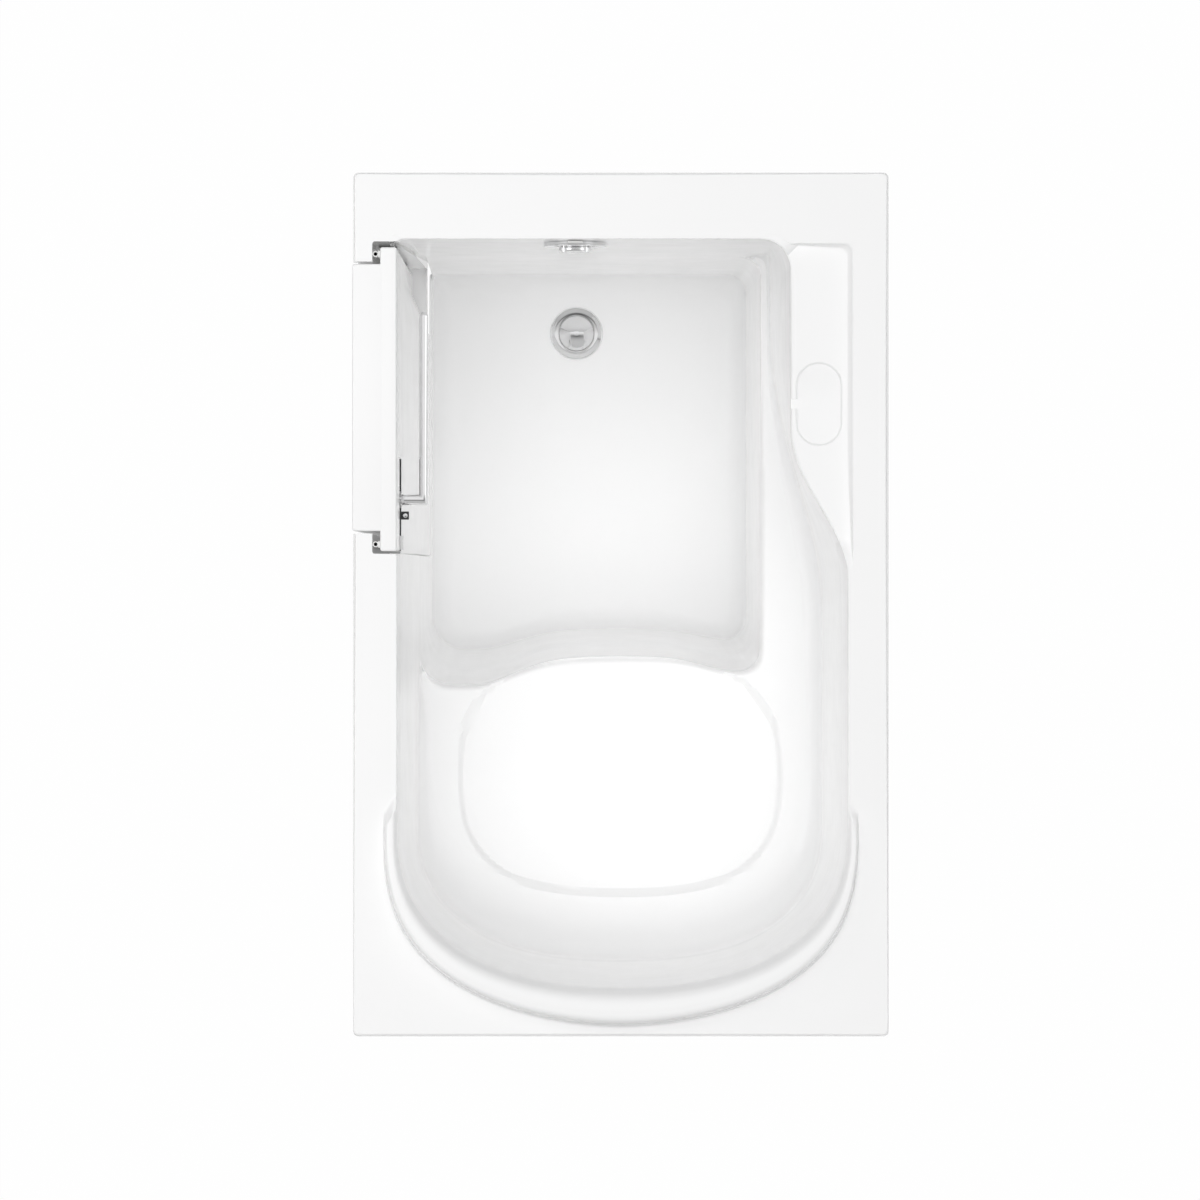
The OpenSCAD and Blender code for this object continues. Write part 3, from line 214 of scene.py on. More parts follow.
# Soft rubber or moulded plastic, by its colour and its tooth.
def mouldedFinish(name, dark, light, rough=0.5, tooth=0.00008):
    look = Finish(name)
    fine = look.noise(700.0, 2.0)
    cloud = look.noise(14.0, 3.0)
    look.feed("Base Color", look.ramp(cloud, [(0.3, dark), (0.7, light)]))
    look.feed("Roughness", fine * 0.12 + (rough - 0.06))
    look.bump(fine, tooth)
    return look.material


acrylic = acrylicFinish("glossAcrylic")
panelAcrylic = acrylicFinish("panelAcrylic", 0.9)
laminate = laminateFinish()
chrome = chromeFinish("polishedChrome")
steel = brushedFinish("drawnSteel")
hingeSteel = brushedFinish("hingeSteel", 0.42, 0.34)
coatedTube = coatedTubeFinish()
darkSteel = darkSteelFinish()
plywood = plywoodFinish()
whiteRubber = mouldedFinish("whiteRubber", (0.84, 0.84, 0.83), (0.9, 0.9, 0.89), 0.5)
whitePipe = mouldedFinish("whitePipe", (0.7, 0.7, 0.68), (0.76, 0.76, 0.74), 0.3, 0.00003)
blackPlastic = mouldedFinish("blackPlastic", (0.015, 0.015, 0.016), (0.03, 0.03, 0.032), 0.45)
brass = brushedFinish("machinedBrass", 0.5, 0.3)
foam = mouldedFinish("doorFoam", (0.6, 0.52, 0.32), (0.7, 0.62, 0.4), 0.8, 0.0005)
print("stage: materials")

nodeFinish = {
    "acrylic": acrylic, "chrome": chrome, "steel": steel, "dark_steel": darkSteel,
    "frame_paint": coatedTube, "timber": plywood, "seal": whiteRubber, "foam": foam,
    "pvc": whitePipe, "black_plastic": blackPlastic, "brass": brass}
slots = {part["node"]: part["material_slot"] for part in frame["record"]["subparts"]}
for name, obj in nodes.items():
    obj.data.materials.clear()
    obj.data.materials.append(nodeFinish[slots[name]])
for name in ("hinge_frame_leaves", "hinge_door_leaves", "hinge_pins"):
    nodes[name].data.materials[0] = hingeSteel
for name in ("front_panel", "foot_panel", "back_panel"):
    nodes[name].data.materials[0] = panelAcrylic


# The moulded bath: a section in each direction round one centre, lofted into one closed sheet.
bath = {
    "x0": -0.375, "x1": 0.375, "y0": -0.605, "y1": 0.605, "edgeRound": 0.007,
    "rim": 0.94, "lip": 0.04, "flare": 0.0044, "lipEase": 0.0035,
    "seat": 0.565, "well": 0.14, "sheet": 0.006, "seatSheet": 0.014,
    "basinX0": -0.312, "basinX1": 0.316, "basinY0": -0.533, "basinY1": 0.509, "roll": 0.006,
    "lineX0": -0.319, "lineX1": 0.323, "lineY0": -0.587, "shelfX": 0.236, "shelfY1": 0.503,
    "earX0": -0.331, "earX1": 0.331, "earY": -0.288, "earTop": -0.262, "earLength": 0.03,
    "backY": -0.303, "shelfS1": 0.243, "shelfS0": 0.034, "shelfDrop": 0.01, "ridge": 0.04,
    "footX0": -0.292, "footX1": 0.29, "footY0": -0.503, "wellX1": 0.203, "armX": 0.217,
    "armS1": 0.4, "armS0": -0.02, "seatY": -0.076, "floorX0": -0.283, "floorX1": 0.192,
    "floorY0": -0.038, "floorRound": 0.04, "starX": -0.042, "starY": 0.2,
    "recess": 0.012, "recessX": 0.232, "recessY": 0.172, "recessPower": 2.75, "recessEdge": 0.007,
    "bend": 0.13, "seatCove": 0.036, "backCove": 1.9, "wallTop": 0.05,
    "narrowBand": 0.004, "directions": 320, "seatRings": 72}
# The roll from the deck to the basin: shares of its width, its rise and the shelf's drop.
rollShape = [(0.03, 0.25, 0.5), (0.08, 0.62, 0.95), (0.13, 0.88, 1), (0.28, 0.99, 1),
             (0.5, 1.0, 1), (0.72, 0.97, 1), (0.9, 0.82, 1)]
# Degrees at which the cove between wall and seat has a ring of its own.
coveDegrees = (5, 20, 36, 54, 72, 86)


def smooth(value):
    value = max(0.0, min(1.0, value))
    return value * value * (3 - 2 * value)


def mixed(a, b, share):
    return a + (b - a) * share


# A corner at b between a and c, rounded to radius r.
def roundCorner(a, b, c, r, steps=12):
    u = (Vector(a) - Vector(b)).normalized()
    v = (Vector(c) - Vector(b)).normalized()
    half = math.acos(max(-1, min(1, u.dot(v)))) / 2
    mid = Vector(b) + (u + v).normalized() * r / math.sin(half)
    start = Vector(b) + u * r / math.tan(half) - mid
    end = Vector(b) + v * r / math.tan(half) - mid
    first = math.atan2(start.y, start.x)
    turn = (math.atan2(end.y, end.x) - first + 3 * math.pi) % (2 * math.pi) - math.pi
    return [mid + r * Vector((math.cos(first + turn * i / steps), math.sin(first + turn * i / steps)))
            for i in range(steps + 1)]


# The back rest's outline: half a superellipse from right to left, with a power for each axis.
def backCurve(left, right, depth, across, along, steps=180):
    points = []
    for i in range(steps + 1):
        c, s = math.cos(math.pi * i / steps), math.sin(math.pi * i / steps)
        reach = abs(c) ** (2 / across)
        x = right * reach if c >= 0 else left * reach
        points.append(Vector((x, bath["backY"] - depth * s ** (2 / along))))
    return points


def stepCurve(xa, ya, xb, yb, steps=60):
    return [Vector((mixed(xa, xb, 0.5 - 0.5 * math.cos(math.pi * i / steps)), mixed(ya, yb, i / steps)))
            for i in range(steps + 1)]


# The seat's front edge, with a hollow for each leg that runs on into the well's corner.
seatLegs = {"left": (-0.216, 0.085, 0.041), "right": (0.17, 0.068, 0.0215)}


def seatFront(x, y, hollow):
    leftX, leftWidth, leftDepth = seatLegs["left"]
    rightX, rightWidth, rightDepth = seatLegs["right"]
    leftLeg = leftDepth * math.exp(-(max(0.0, x - leftX) / leftWidth) ** 2)
    rightLeg = rightDepth * math.exp(-(max(0.0, rightX - x) / rightWidth) ** 2)
    return y - hollow * (leftLeg + rightLeg)


def wellOutline(left, right, top, y, hollow, r):
    rightY, leftY = seatFront(right, y, hollow), seatFront(left, y, hollow)
    turn = r * 0.7
    front, x = [], right - turn - 0.002
    while x > left + r + 0.001:
        front.append(Vector((x, seatFront(x, y, hollow))))
        x -= 0.004
    return (roundCorner((left, 0), (left, top), (0, top), 0.01)
            + roundCorner((left, top), (right, top), (right, 0), 0.03)
            + roundCorner((right, 0), (right, rightY), (0, rightY), turn) + front
            + roundCorner((0, leftY), (left, leftY), (left, 0), r))


b = bath


# The outer line of the back rest's roll, with an ear on each side, flat where the roll dies away.
def rollCurve():
    curve = backCurve(b["earX0"], b["earX1"], b["backY"] - b["lineY0"], 1.9, 3.0)
    top, start = b["earTop"], b["earTop"] + b["earLength"]
    right = [Vector((b["lineX1"], start)), Vector((b["earX1"], top))]
    left = [Vector((b["earX0"], top)), Vector((b["lineX0"], start))]
    return right + curve + left


# A flat outline with each corner rounded.
def rounded(corners, r, steps=12):
    outline = []
    for i, corner in enumerate(corners):
        outline += roundCorner(corners[i - 1], corner, corners[(i + 1) % len(corners)], r, steps)
    return outline


edgeOutline = rounded([(b["x1"], b["y1"]), (b["x0"], b["y1"]), (b["x0"], b["y0"]), (b["x1"], b["y0"])],
                      b["edgeRound"])
lineTop = b["basinY1"] + b["roll"] + 0.001
lineOutline = (
    [Vector(p) for p in ((b["lineX0"], lineTop), (b["shelfX"] - 0.022, lineTop), (b["shelfX"], b["shelfY1"]))]
    + roundCorner((b["shelfX"], b["shelfY1"]), (b["lineX1"], b["shelfY1"]), (b["lineX1"], b["backY"]), 0.012)
    + rollCurve())
basinLeft, basinRight = (b["basinX0"], b["basinY1"]), (b["shelfX"], b["basinY1"])
basinOutline = (
    roundCorner((b["basinX0"], b["backY"]), basinLeft, basinRight, 0.008)
    + roundCorner(basinLeft, basinRight, (b["shelfX"], b["shelfS1"]), 0.042, 24)
    + stepCurve(b["shelfX"], b["shelfS1"], b["basinX1"], b["shelfS0"])
    + backCurve(b["basinX0"], b["basinX1"], b["backY"] - b["basinY0"], 2.15, 2.55))
footTop = b["basinY1"] - 0.001
footOutline = (
    [Vector((b["footX0"], footTop))]
    + roundCorner((b["footX0"], footTop), (b["armX"], footTop), (b["armX"], b["armS1"]), 0.009)
    + stepCurve(b["armX"], b["armS1"], b["footX1"], b["armS0"])
    + backCurve(b["footX0"], b["footX1"], b["backY"] - b["footY0"], 2.5, 2.5))
wellTop = wellOutline(b["footX0"] + 0.0015, b["wellX1"], b["basinY1"] - 0.004, b["seatY"], 1, 0.045)
wellFloor = wellOutline(b["floorX0"], b["floorX1"], b["basinY1"] - 0.0105, b["floorY0"], 0.75, 0.05)


# Distance from the centre to a closed outline along a direction.
def reachOf(outline, dx, dy):
    best = 0.0
    for i, start in enumerate(outline):
        end = outline[(i + 1) % len(outline)]
        px, py = start.x - b["starX"], start.y - b["starY"]
        ex, ey = end.x - start.x, end.y - start.y
        den = dx * ey - dy * ex
        if abs(den) > 1e-12:
            t = (px * ey - py * ex) / den
            u = (px * dy - py * dx) / den
            if t > best and -1e-6 <= u <= 1 + 1e-6:
                best = t
    return best


# A path of [distance, height, radius] corners, each rounded, with a point before and after each round.
def roundPath(corners, steps=5, guard=0.0012):
    path = [Vector(corners[0][:2])]
    for before, here, after in zip(corners, corners[1:], corners[2:]):
        p, q, s = Vector(before[:2]), Vector(here[:2]), Vector(after[:2])
        u, v = p - q, s - q
        reach = min(here[2], u.length * 0.42, v.length * 0.42)
        if u.length < 1e-9 or v.length < 1e-9:
            u, v, reach = Vector((0, 0)), Vector((0, 0)), 0
        else:
            u.normalize()
            v.normalize()
        extra = min(guard, reach * 0.12)
        path.append(q + u * (reach + extra))
        for i in range(steps + 1):
            t = i / steps
            path.append((1 - t) ** 2 * (q + u * reach) + 2 * t * (1 - t) * q + t * t * (q + v * reach))
        path.append(q + v * (reach + extra))
    path.append(Vector(corners[-1][:2]))
    return path


# A smooth curve through points, a few steps to each span.
def throughPoints(points, steps):
    path = [points[0]]
    for i in range(len(points) - 1):
        p1, p2 = points[i], points[i + 1]
        p0 = points[i - 1] if i else p1 + (p1 - p2)
        p3 = points[i + 2] if i + 2 < len(points) else p2 + (p2 - p1)
        k0, k1, k2 = [max(1e-5, (e - s).length ** 0.5) for s, e in ((p0, p1), (p1, p2), (p2, p3))]
        m1 = (p2 - p1) + k1 * ((p1 - p0) / k0 - (p2 - p0) / (k0 + k1))
        m2 = (p2 - p1) + k1 * ((p3 - p2) / k2 - (p3 - p1) / (k1 + k2))
        for j in range(1, steps + 1):
            t = j / steps
            path.append((2 * t ** 3 - 3 * t * t + 1) * p1 + (t ** 3 - 2 * t * t + t) * m1
                        + (3 * t * t - 2 * t ** 3) * p2 + (t ** 3 - t * t) * m2)
    return path


# The upper wall runs into the footwell's, over a soft bend where no ledge lies between them.
def wallReach(s, z):
    k = max(0.0, min(1.0, (b["rim"] - z) / (b["rim"] - b["seat"])))
    above = mixed(s["basin"], s["foot"], 0.35 * k + 0.65 * k ** 0.7)
    k = max(0.0, min(1.0, (b["seat"] - z) / (b["seat"] - b["well"] - b["floorRound"])))
    below = mixed(s["top"], s["floor"], k)
    soft = smooth((b["seat"] + b["bend"] - z) / (2 * b["bend"]))
    return mixed(above, below, mixed(soft, 0.0 if z > b["seat"] else 1.0, s["flat"]))


# A point near the seat: on the wall where no ledge lies, at its own reach and height where one does.
def onSeat(s, up, reach, level, out=0.0):
    z = b["seat"] + up
    return [mixed(wallReach(s, z) + out, reach, s["flat"]), mixed(z, b["seat"] + level, s["flat"])]


# How far a place lies outside the seat's recess.
def outsideRecess(x, y):
    midY = b["seatY"] - b["recessY"]
    near = abs(x / b["recessX"]) ** b["recessPower"] + abs((y - midY) / b["recessY"]) ** b["recessPower"]
    return (near ** (1 / b["recessPower"]) - 1) * min(b["recessX"], b["recessY"])


# Shares of the way over the seat, closer together at the recess's edge.
def seatSteps(outer, inner, dx, dy, samples=300):
    sums = [0.0]
    for i in range(samples):
        r = mixed(outer, inner, (i + 0.5) / samples)
        out = outsideRecess(b["starX"] + r * dx, b["starY"] + r * dy)
        sums.append(sums[-1] + 1 + 7 * math.exp(-(out / (1.3 * b["recessEdge"])) ** 2))
    steps, i = [], 0
    for k in range(1, b["seatRings"] + 1):
        goal = sums[-1] * k / b["seatRings"]
        while i < samples - 1 and sums[i + 1] < goal:
            i += 1
        steps.append(min(1.0, (i + (goal - sums[i]) / (sums[i + 1] - sums[i])) / samples))
    return steps


# The upper surface in one direction, from the turned-down lip to the middle of the floor. Heights
# near the seat are measured from it, and a radius of 0 leaves a corner sharp.
def upperPath(s):
    band = max(b["narrowBand"], s["line"] - s["basin"] - b["roll"])
    rim, ledge = b["rim"], s["foot"] - s["top"]
    drop = s["shelf"] * b["shelfDrop"]
    widest = 0.03
    cove = min(widest, 0.36 * ledge)
    nose = min(0.02, 0.32 * ledge)
    edge = [[s["edge"], rim - b["lip"], 0], [s["edge"] - b["flare"], rim, b["lipEase"]],
            [s["line"] + 0.0005, rim, 0.004]]
    roll = [[s["line"] - band * share, rim + s["rise"] * up - drop * down, 0.012]
            for share, up, down in rollShape]
    into = [[s["basin"] + b["roll"] * 0.2, rim + s["rise"] * 0.4 - drop, 0.009]]
    top = rim - b["wallTop"]
    path = roundPath(edge + roll + into + [[wallReach(s, top), top, 0]], 4)
    bow = b["seatCove"] * (1 + b["backCove"] * s["back"])
    foot = b["seat"] + 0.03 + bow
    heights = [mixed(top, foot, share) for share in (0.2, 0.4, 0.7)]
    wall = [Vector([wallReach(s, z), z]) for z in (top, *heights, foot)]
    bend, base = [], wallReach(s, b["seat"] + bow)
    for degrees in coveDegrees:
        a = math.radians(degrees)
        up, reach = bow * (1 - math.sin(a)), base - min(bow, cove * bow / widest) * (1 - math.cos(a))
        bend.append(Vector(onSeat(s, up, reach, up)))
    path += throughPoints(wall + bend, 4)[1:]
    inner = Vector(onSeat(s, -0.014, s["top"] + nose, 0))
    outer = path[-1]
    path += [outer.lerp(inner, share) for share in seatSteps(outer.x, inner.x, s["dx"], s["dy"])]
    down = [inner] + [Vector(onSeat(s, up, s["top"] + reach, level)) for up, reach, level in (
        (-0.02, nose * 0.4, -0.0012), (-0.034, 0.0008, -0.012), (-0.06, -0.0006, -0.04))]
    r, start = b["floorRound"], math.radians(1.2)
    low = b["well"] + r * (1 - math.sin(start))
    down += [Vector([mixed(s["top"], s["floor"], share), mixed(b["seat"], low, share)])
             for share in (0.35, 0.6, 0.8, 1.0)]
    path += throughPoints(down, 5)[1:]
    for i in range(1, 11):
        a = mixed(start, math.pi / 2, i / 10)
        reach = s["floor"] - r * (math.cos(start) - math.cos(a))
        path.append(Vector([reach, b["well"] + r * (1 - math.sin(a))]))
    for share in (0.97, 0.8, 0.5, 0.2, 0.04):
        path.append(Vector([(s["floor"] - r) * share, b["well"]]))
    return path


# The underside of the sheet, from the middle of the floor back to the lip.
def lowerPath(s):
    t, low, r, rim = b["sheet"], b["well"] + b["floorRound"], b["floorRound"], b["rim"]
    drop = s["shelf"] * (b["shelfDrop"] + 0.0035)
    band = s["line"] - s["basin"] - b["roll"]
    hump = s["rise"] / b["ridge"]
    path = [[e, z, 0.006] for e, z in (
        (s["edge"] - t, rim - b["lip"]), (s["edge"] - t - b["flare"], rim - t),
        (s["line"] + 0.002 + s["shelf"] * t - 0.003 * hump, rim - t),
        (s["line"] + 0.0012 - (band + 0.001) * 0.45, rim - t - 0.001 - drop + s["rise"]),
        (s["line"] + 0.001 - (band + 0.001) * 0.8, rim - t - 0.002 - drop + s["rise"] * 0.72),
        (s["basin"] + t, rim - t - b["roll"] - drop),
        (wallReach(s, rim - 0.15) + t, rim - 0.15))]
    below = -b["seatSheet"]
    for up, reach, level in ((0.024, s["foot"] + 0.004 + t, 0.022),
                             (-0.012, max(s["foot"] - 0.002, s["top"] + t + 0.001), below),
                             (-0.04, s["top"] + t, below)):
        path.append([*onSeat(s, up, reach, level, t), 0.008])
    path += [[s["floor"] + t, low, 0.02],
             [s["floor"] - 0.29 * r + 0.7 * t, b["well"] + 0.29 * r - 0.7 * t, 0.02],
             [s["floor"] - r, b["well"] - t, 0.01], [0.02, b["well"] - t, 0]]
    return roundPath(path, 3)


# The directions round the centre: even steps, with closer ones through the corners and the ears.
def directionsOf():
    keys = []
    for outline, picks in ((edgeOutline, range(0, 52, 2)), (lineOutline, range(3, 16, 2)),
                           (basinOutline, range(0, 36, 3)), (wellTop, range(13, 39, 4))):
        for i in picks:
            keys.append(math.atan2(outline[i].y - b["starY"], outline[i].x - b["starX"]) % (2 * math.pi))
    for x in (b["earX0"], b["earX1"]):
        for back in (0.0, 0.0035, 0.007, 0.0105, 0.014):
            keys.append(math.atan2(b["earY"] - back - b["starY"], x - b["starX"]) % (2 * math.pi))
    step = 2 * math.pi / b["directions"]
    even = [i * step for i in range(b["directions"])]
    turns = sorted(keys + [turn for turn in even if min(abs(turn - k) for k in keys) > step * 0.35])
    kept = [turns[0]]
    for turn in turns[1:]:
        if turn - kept[-1] > 0.0012:
            kept.append(turn)
    return kept


# What the section needs in one direction: each outline's reach, and how much of each feature shows.
def sectionOf(turn):
    dx, dy = math.cos(turn), math.sin(turn)
    s = {name: reachOf(outline, dx, dy) for name, outline in (
        ("edge", edgeOutline), ("line", lineOutline), ("basin", basinOutline), ("foot", footOutline),
        ("top", wellTop), ("floor", wellFloor))}
    s["dx"], s["dy"] = dx, dy
    y = b["starY"] + s["line"] * dy
    s["rise"] = b["ridge"] * (0.3 * smooth((b["earY"] - y) / 0.035) + 0.7 * smooth((b["earY"] - y) / 0.27))
    s["back"] = smooth((b["backY"] - y) / (b["backY"] - b["lineY0"]))
    s["shelf"] = smooth((s["line"] - s["basin"] - b["roll"] - 0.004) / 0.014) if y > 0 else 0.0
    s["flat"] = smooth((s["foot"] - s["top"] - 0.004) / 0.01)
    return s


# The seat's recess lowers the surface inside a superellipse, over a soft edge.
def recessDrop(x, y, z):
    out = outsideRecess(x, y)
    level = smooth((z - b["seat"] + 0.03) / 0.02) * smooth((b["seat"] + 0.06 - z) / 0.04)
    return b["recess"] * level * smooth(0.5 - out / b["recessEdge"])


def newPiece(name, mesh, materials, clean=True):
    if clean:
        bmesh.ops.recalc_face_normals(mesh, faces=mesh.faces[:])
    data = bpy.data.meshes.new(name)
    mesh.to_mesh(data)
    mesh.free()
    piece = bpy.data.objects.new(name, data)
    bpy.context.scene.collection.objects.link(piece)
    for material in materials:
        data.materials.append(material)
    return piece


# Faces are smooth, and an edge is sharp where the surface turns by more than the angle.
def shadeByAngle(piece, degrees):
    mesh = bmesh.new()
    mesh.from_mesh(piece.data)
    for face in mesh.faces:
        face.smooth = True
    for edge in mesh.edges:
        edge.smooth = len(edge.link_faces) == 2 and edge.calc_face_angle(0) < math.radians(degrees)
    mesh.to_mesh(piece.data)
    mesh.free()


# The other pieces are joined to the piece or taken out of it, and are gone afterwards.
def combine(piece, operation, others):
    for other in others:
        change = piece.modifiers.new("combine", "BOOLEAN")
        change.operation = operation
        change.solver = "EXACT"
        change.object = other
    bpy.context.view_layer.update()
    result = bpy.data.meshes.new_from_object(piece.evaluated_get(bpy.context.evaluated_depsgraph_get()))
    piece.modifiers.clear()
    old = piece.data
    piece.data = result
    bpy.data.meshes.remove(old)
    for other in others:
        data = other.data
        bpy.data.objects.remove(other)
        bpy.data.meshes.remove(data)


# A box, with all its edges rounded where a radius is given.
def boxCutter(low, high, r=0.0, steps=4):
    mesh = bmesh.new()
    middle, size = (Vector(low) + Vector(high)) / 2, Vector(high) - Vector(low)
    bmesh.ops.create_cube(mesh, size=1, matrix=Matrix.Translation(middle) @ Matrix.Diagonal((*size, 1)))
    if r:
        bmesh.ops.bevel(mesh, geom=mesh.edges[:], offset=r, segments=steps, profile=0.5, affect="EDGES",
                        material=-1)
    return newPiece("cutter", mesh, [acrylic])


# A closed skin through rings of points: each ring is the last one's edges, extruded and moved.
def loftRings(mesh, rings, materialOf=None):
    verts = bmesh.ops.create_circle(mesh, segments=len(rings[0]), radius=1)["verts"]
    edges = list({edge for vert in verts for edge in vert.link_edges})
    for vert, place in zip(verts, rings[0]):
        vert.co = place
    order = {vert: i for i, vert in enumerate(verts)}
    for k, ring in enumerate(rings[1:]):
        made = bmesh.ops.extrude_edge_only(mesh, edges=edges)["geom"]
        fresh = {}
        for item in made:
            if isinstance(item, bmesh.types.BMVert):
                old = next(e.other_vert(item) for e in item.link_edges if e.other_vert(item) in order)
                fresh[item] = order[old]
                item.co = ring[order[old]]
        edges = [e for e in made if isinstance(e, bmesh.types.BMEdge) and all(v in fresh for v in e.verts)]
        if materialOf:
            for face in made:
                if isinstance(face, bmesh.types.BMFace):
                    face.material_index = materialOf(k)
        order = fresh
    bmesh.ops.holes_fill(mesh, edges=[e for e in mesh.edges if e.is_boundary], sides=0)


def makeBath():
    turns = directionsOf()
    sections = [sectionOf(turn) for turn in turns]
    uppers = [upperPath(s)[::-1] for s in sections]
    lowers = [lowerPath(s) for s in sections]
    count = len(uppers[0])
    rings = []
    for k in range(count + len(lowers[0])):
        ring = []
        for upper, lower, turn in zip(uppers, lowers, turns):
            r, z = upper[k] if k < count else lower[k - count]
            x, y = b["starX"] + r * math.cos(turn), b["starY"] + r * math.sin(turn)
            ring.append((x, y, z - (recessDrop(x, y, z) if k < count else 0)))
        rings.append(ring)
    mesh = bmesh.new()
    loftRings(mesh, rings, lambda k: 0 if k < count else 1)
    for face in mesh.faces:
        if len(face.verts) > 4 and face.calc_center_median().z < b["well"] - 0.003:
            face.material_index = 1
    print("stage: bath rings,", len(turns), "x", len(rings))
    return newPiece("bathMoulding", mesh, [acrylic, laminate])


# The doorway's plan: the rebate for the flange inside, the narrower way for the body outside.
doorway = {
    "outX": -0.39, "lipX": -0.347, "innerX": -0.2822, "rebateY0": 0.0708, "rebateY1": 0.5065,
    "lipY0": 0.099, "lipY1": 0.4785, "above": 1.0, "sill": 0.19, "lipZ": 0.2182, "round": 0.0035,
    "sillX": -0.2836, "sillRound": 0.0058, "sillFall": 0.01}


# A solid between an outline of points and the same outline moved by a shift.
def prism(points, shift):
    mesh = bmesh.new()
    face = mesh.faces.new([mesh.verts.new(point) for point in points])
    far = bmesh.ops.extrude_face_region(mesh, geom=[face])["geom"]
    bmesh.ops.translate(mesh, verts=[v for v in far if isinstance(v, bmesh.types.BMVert)], vec=shift)
    return newPiece("cutter", mesh, [acrylic])


# The cutter under the door: level over the sill, then rolled down over the sill's inner edge.
def sillCutter():
    w = doorway
    r = w["sillRound"]
    low, high = w["sill"] - w["sillFall"], w["lipZ"] + 0.02
    profile = [(w["lipX"], high), (w["lipX"], w["sill"])]
    for i in range(9):
        a = math.pi / 2 * i / 8
        profile.append((w["sillX"] - r + r * math.sin(a), low + w["sillFall"] * math.cos(a)))
    profile += [(w["innerX"], low), (w["innerX"], high)]
    return prism([(x, w["rebateY0"], z) for x, z in profile], (0, w["rebateY1"] - w["rebateY0"], 0))


def doorwayCutters():
    w = doorway
    steps = [(w["outX"], "lipY"), (w["lipX"], "lipY"), (w["lipX"], "rebateY"), (w["innerX"], "rebateY")]
    corners = [(x, w[side + "0"]) for x, side in steps] + [(x, w[side + "1"]) for x, side in steps[::-1]]
    plan = rounded(corners, w["round"], 5)
    return [prism([(p.x, p.y, w["lipZ"]) for p in plan], (0, 0, w["above"] - w["lipZ"])), sillCutter()]


# The soap dish: a shallow stadium with a drain to the basin, its walls leaning outwards.
soapDish = {
    "x": 0.2765, "y": 0.28, "width": 0.062, "length": 0.114, "floor": 0.9265, "above": 0.96,
    "drain": 0.014, "drainX": 0.221,
    "section": [(0.0, -0.0022), (0.0006, -0.0008), (0.0022, 0.0002), (0.0034, 0.0016), (0.006, 0.006)]}


def dishCutters():
    d = soapDish
    half = d["width"] / 2
    rings = []
    for up, spread in d["section"]:
        ring = []
        for i in range(96):
            a = 2 * math.pi * i / 96
            y = (d["length"] / 2 - half) * (1 if math.sin(a) >= 0 else -1)
            ring.append((d["x"] + (half + spread) * math.cos(a), d["y"] + y + (half + spread) * math.sin(a),
                         d["floor"] + up))
        rings.append(ring)
    mesh = bmesh.new()
    loftRings(mesh, rings)
    stadium = newPiece("dish", mesh, [acrylic])
    side = d["drain"] / 2
    drain = boxCutter((d["drainX"], d["y"] - side, d["floor"]), (d["x"], d["y"] + side, d["above"]))
    return [stadium, drain]


# What is built round Z is turned to the axis, and its origin goes to the place.
def layAlong(mesh, at, axis):
    turn = Vector((0, 0, 1)).rotation_difference(Vector(axis)).to_matrix().to_4x4()
    bmesh.ops.transform(mesh, matrix=Matrix.Translation(at) @ turn, verts=mesh.verts[:])


def roundCutter(at, axis, r, length, segments=64):
    mesh = bmesh.new()
    bmesh.ops.create_cone(mesh, cap_ends=True, segments=segments, radius1=r, radius2=r, depth=length)
    layAlong(mesh, at, axis)
    return newPiece("cutter", mesh, [acrylic])


# Place, axis, radius and depth of the holes for the waste and the overflow.
bathHoles = [((-0.065, 0.411, 0.14), (0, 0, 1), 0.0288, 0.08),
             ((-0.064, 0.513, 0.862), (0, 1, 0), 0.0123, 0.05)]

bathPiece = makeBath()
holes = [roundCutter(*hole) for hole in bathHoles]
combine(bathPiece, "DIFFERENCE", doorwayCutters() + dishCutters() + holes)
shadeByAngle(bathPiece, 30)
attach(bathPiece, "tub")
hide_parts("bath_shell")
print("stage: bath moulding,", len(bathPiece.data.polygons), "faces")


# The door: a flange that fills the rebate, with the narrower body behind it.
doorMoulding = {
    "flangeX0": -0.336, "flangeX1": -0.313, "flangeY0": 0.0745, "flangeY1": 0.4985, "flangeZ0": 0.1937,
    "bodyX0": -0.375, "bodyY0": 0.1025, "bodyY1": 0.475, "bodyZ0": 0.2217, "top": 0.94, "round": 0.003,
    "overlap": 0.005, "fillet": 0.0045, "pocket": [(-0.319, 0.07, 0.7537), (-0.3, 0.2085, 0.8082)],
    "bush": (-0.32, 0.1485, 0.79), "bushR": 0.00705, "bushDeep": 0.02,
    "hingeX": -0.3192, "hingeY": 0.5024, "hingeR": 0.0048, "hingeZs": (0.34, 0.8), "hingeRoom": 0.09}


# The corner between the flange's back and the body is filled to a soft round.
def filletBehind(piece):
    d = doorMoulding
    mesh = bmesh.new()
    mesh.from_mesh(piece.data)
    edges = []
    for edge in mesh.edges:
        first, second = [v.co for v in edge.verts]
        onBack = all(abs(p.x - d["flangeX0"]) < 1e-5 for p in (first, second))
        long = (first - second).length > 0.1
        inner = d["bodyY0"] - 1e-3 < first.y < d["bodyY1"] + 1e-3 and first.z > d["bodyZ0"] - 1e-3
        if onBack and long and inner and len(edge.link_faces) == 2:
            edges.append(edge)
    bmesh.ops.bevel(mesh, geom=edges, offset=d["fillet"], segments=6, profile=0.5, affect="EDGES",
                    material=-1, clamp_overlap=True)
    mesh.to_mesh(piece.data)
    mesh.free()
    print("stage: door fillets,", len(edges), "edges")


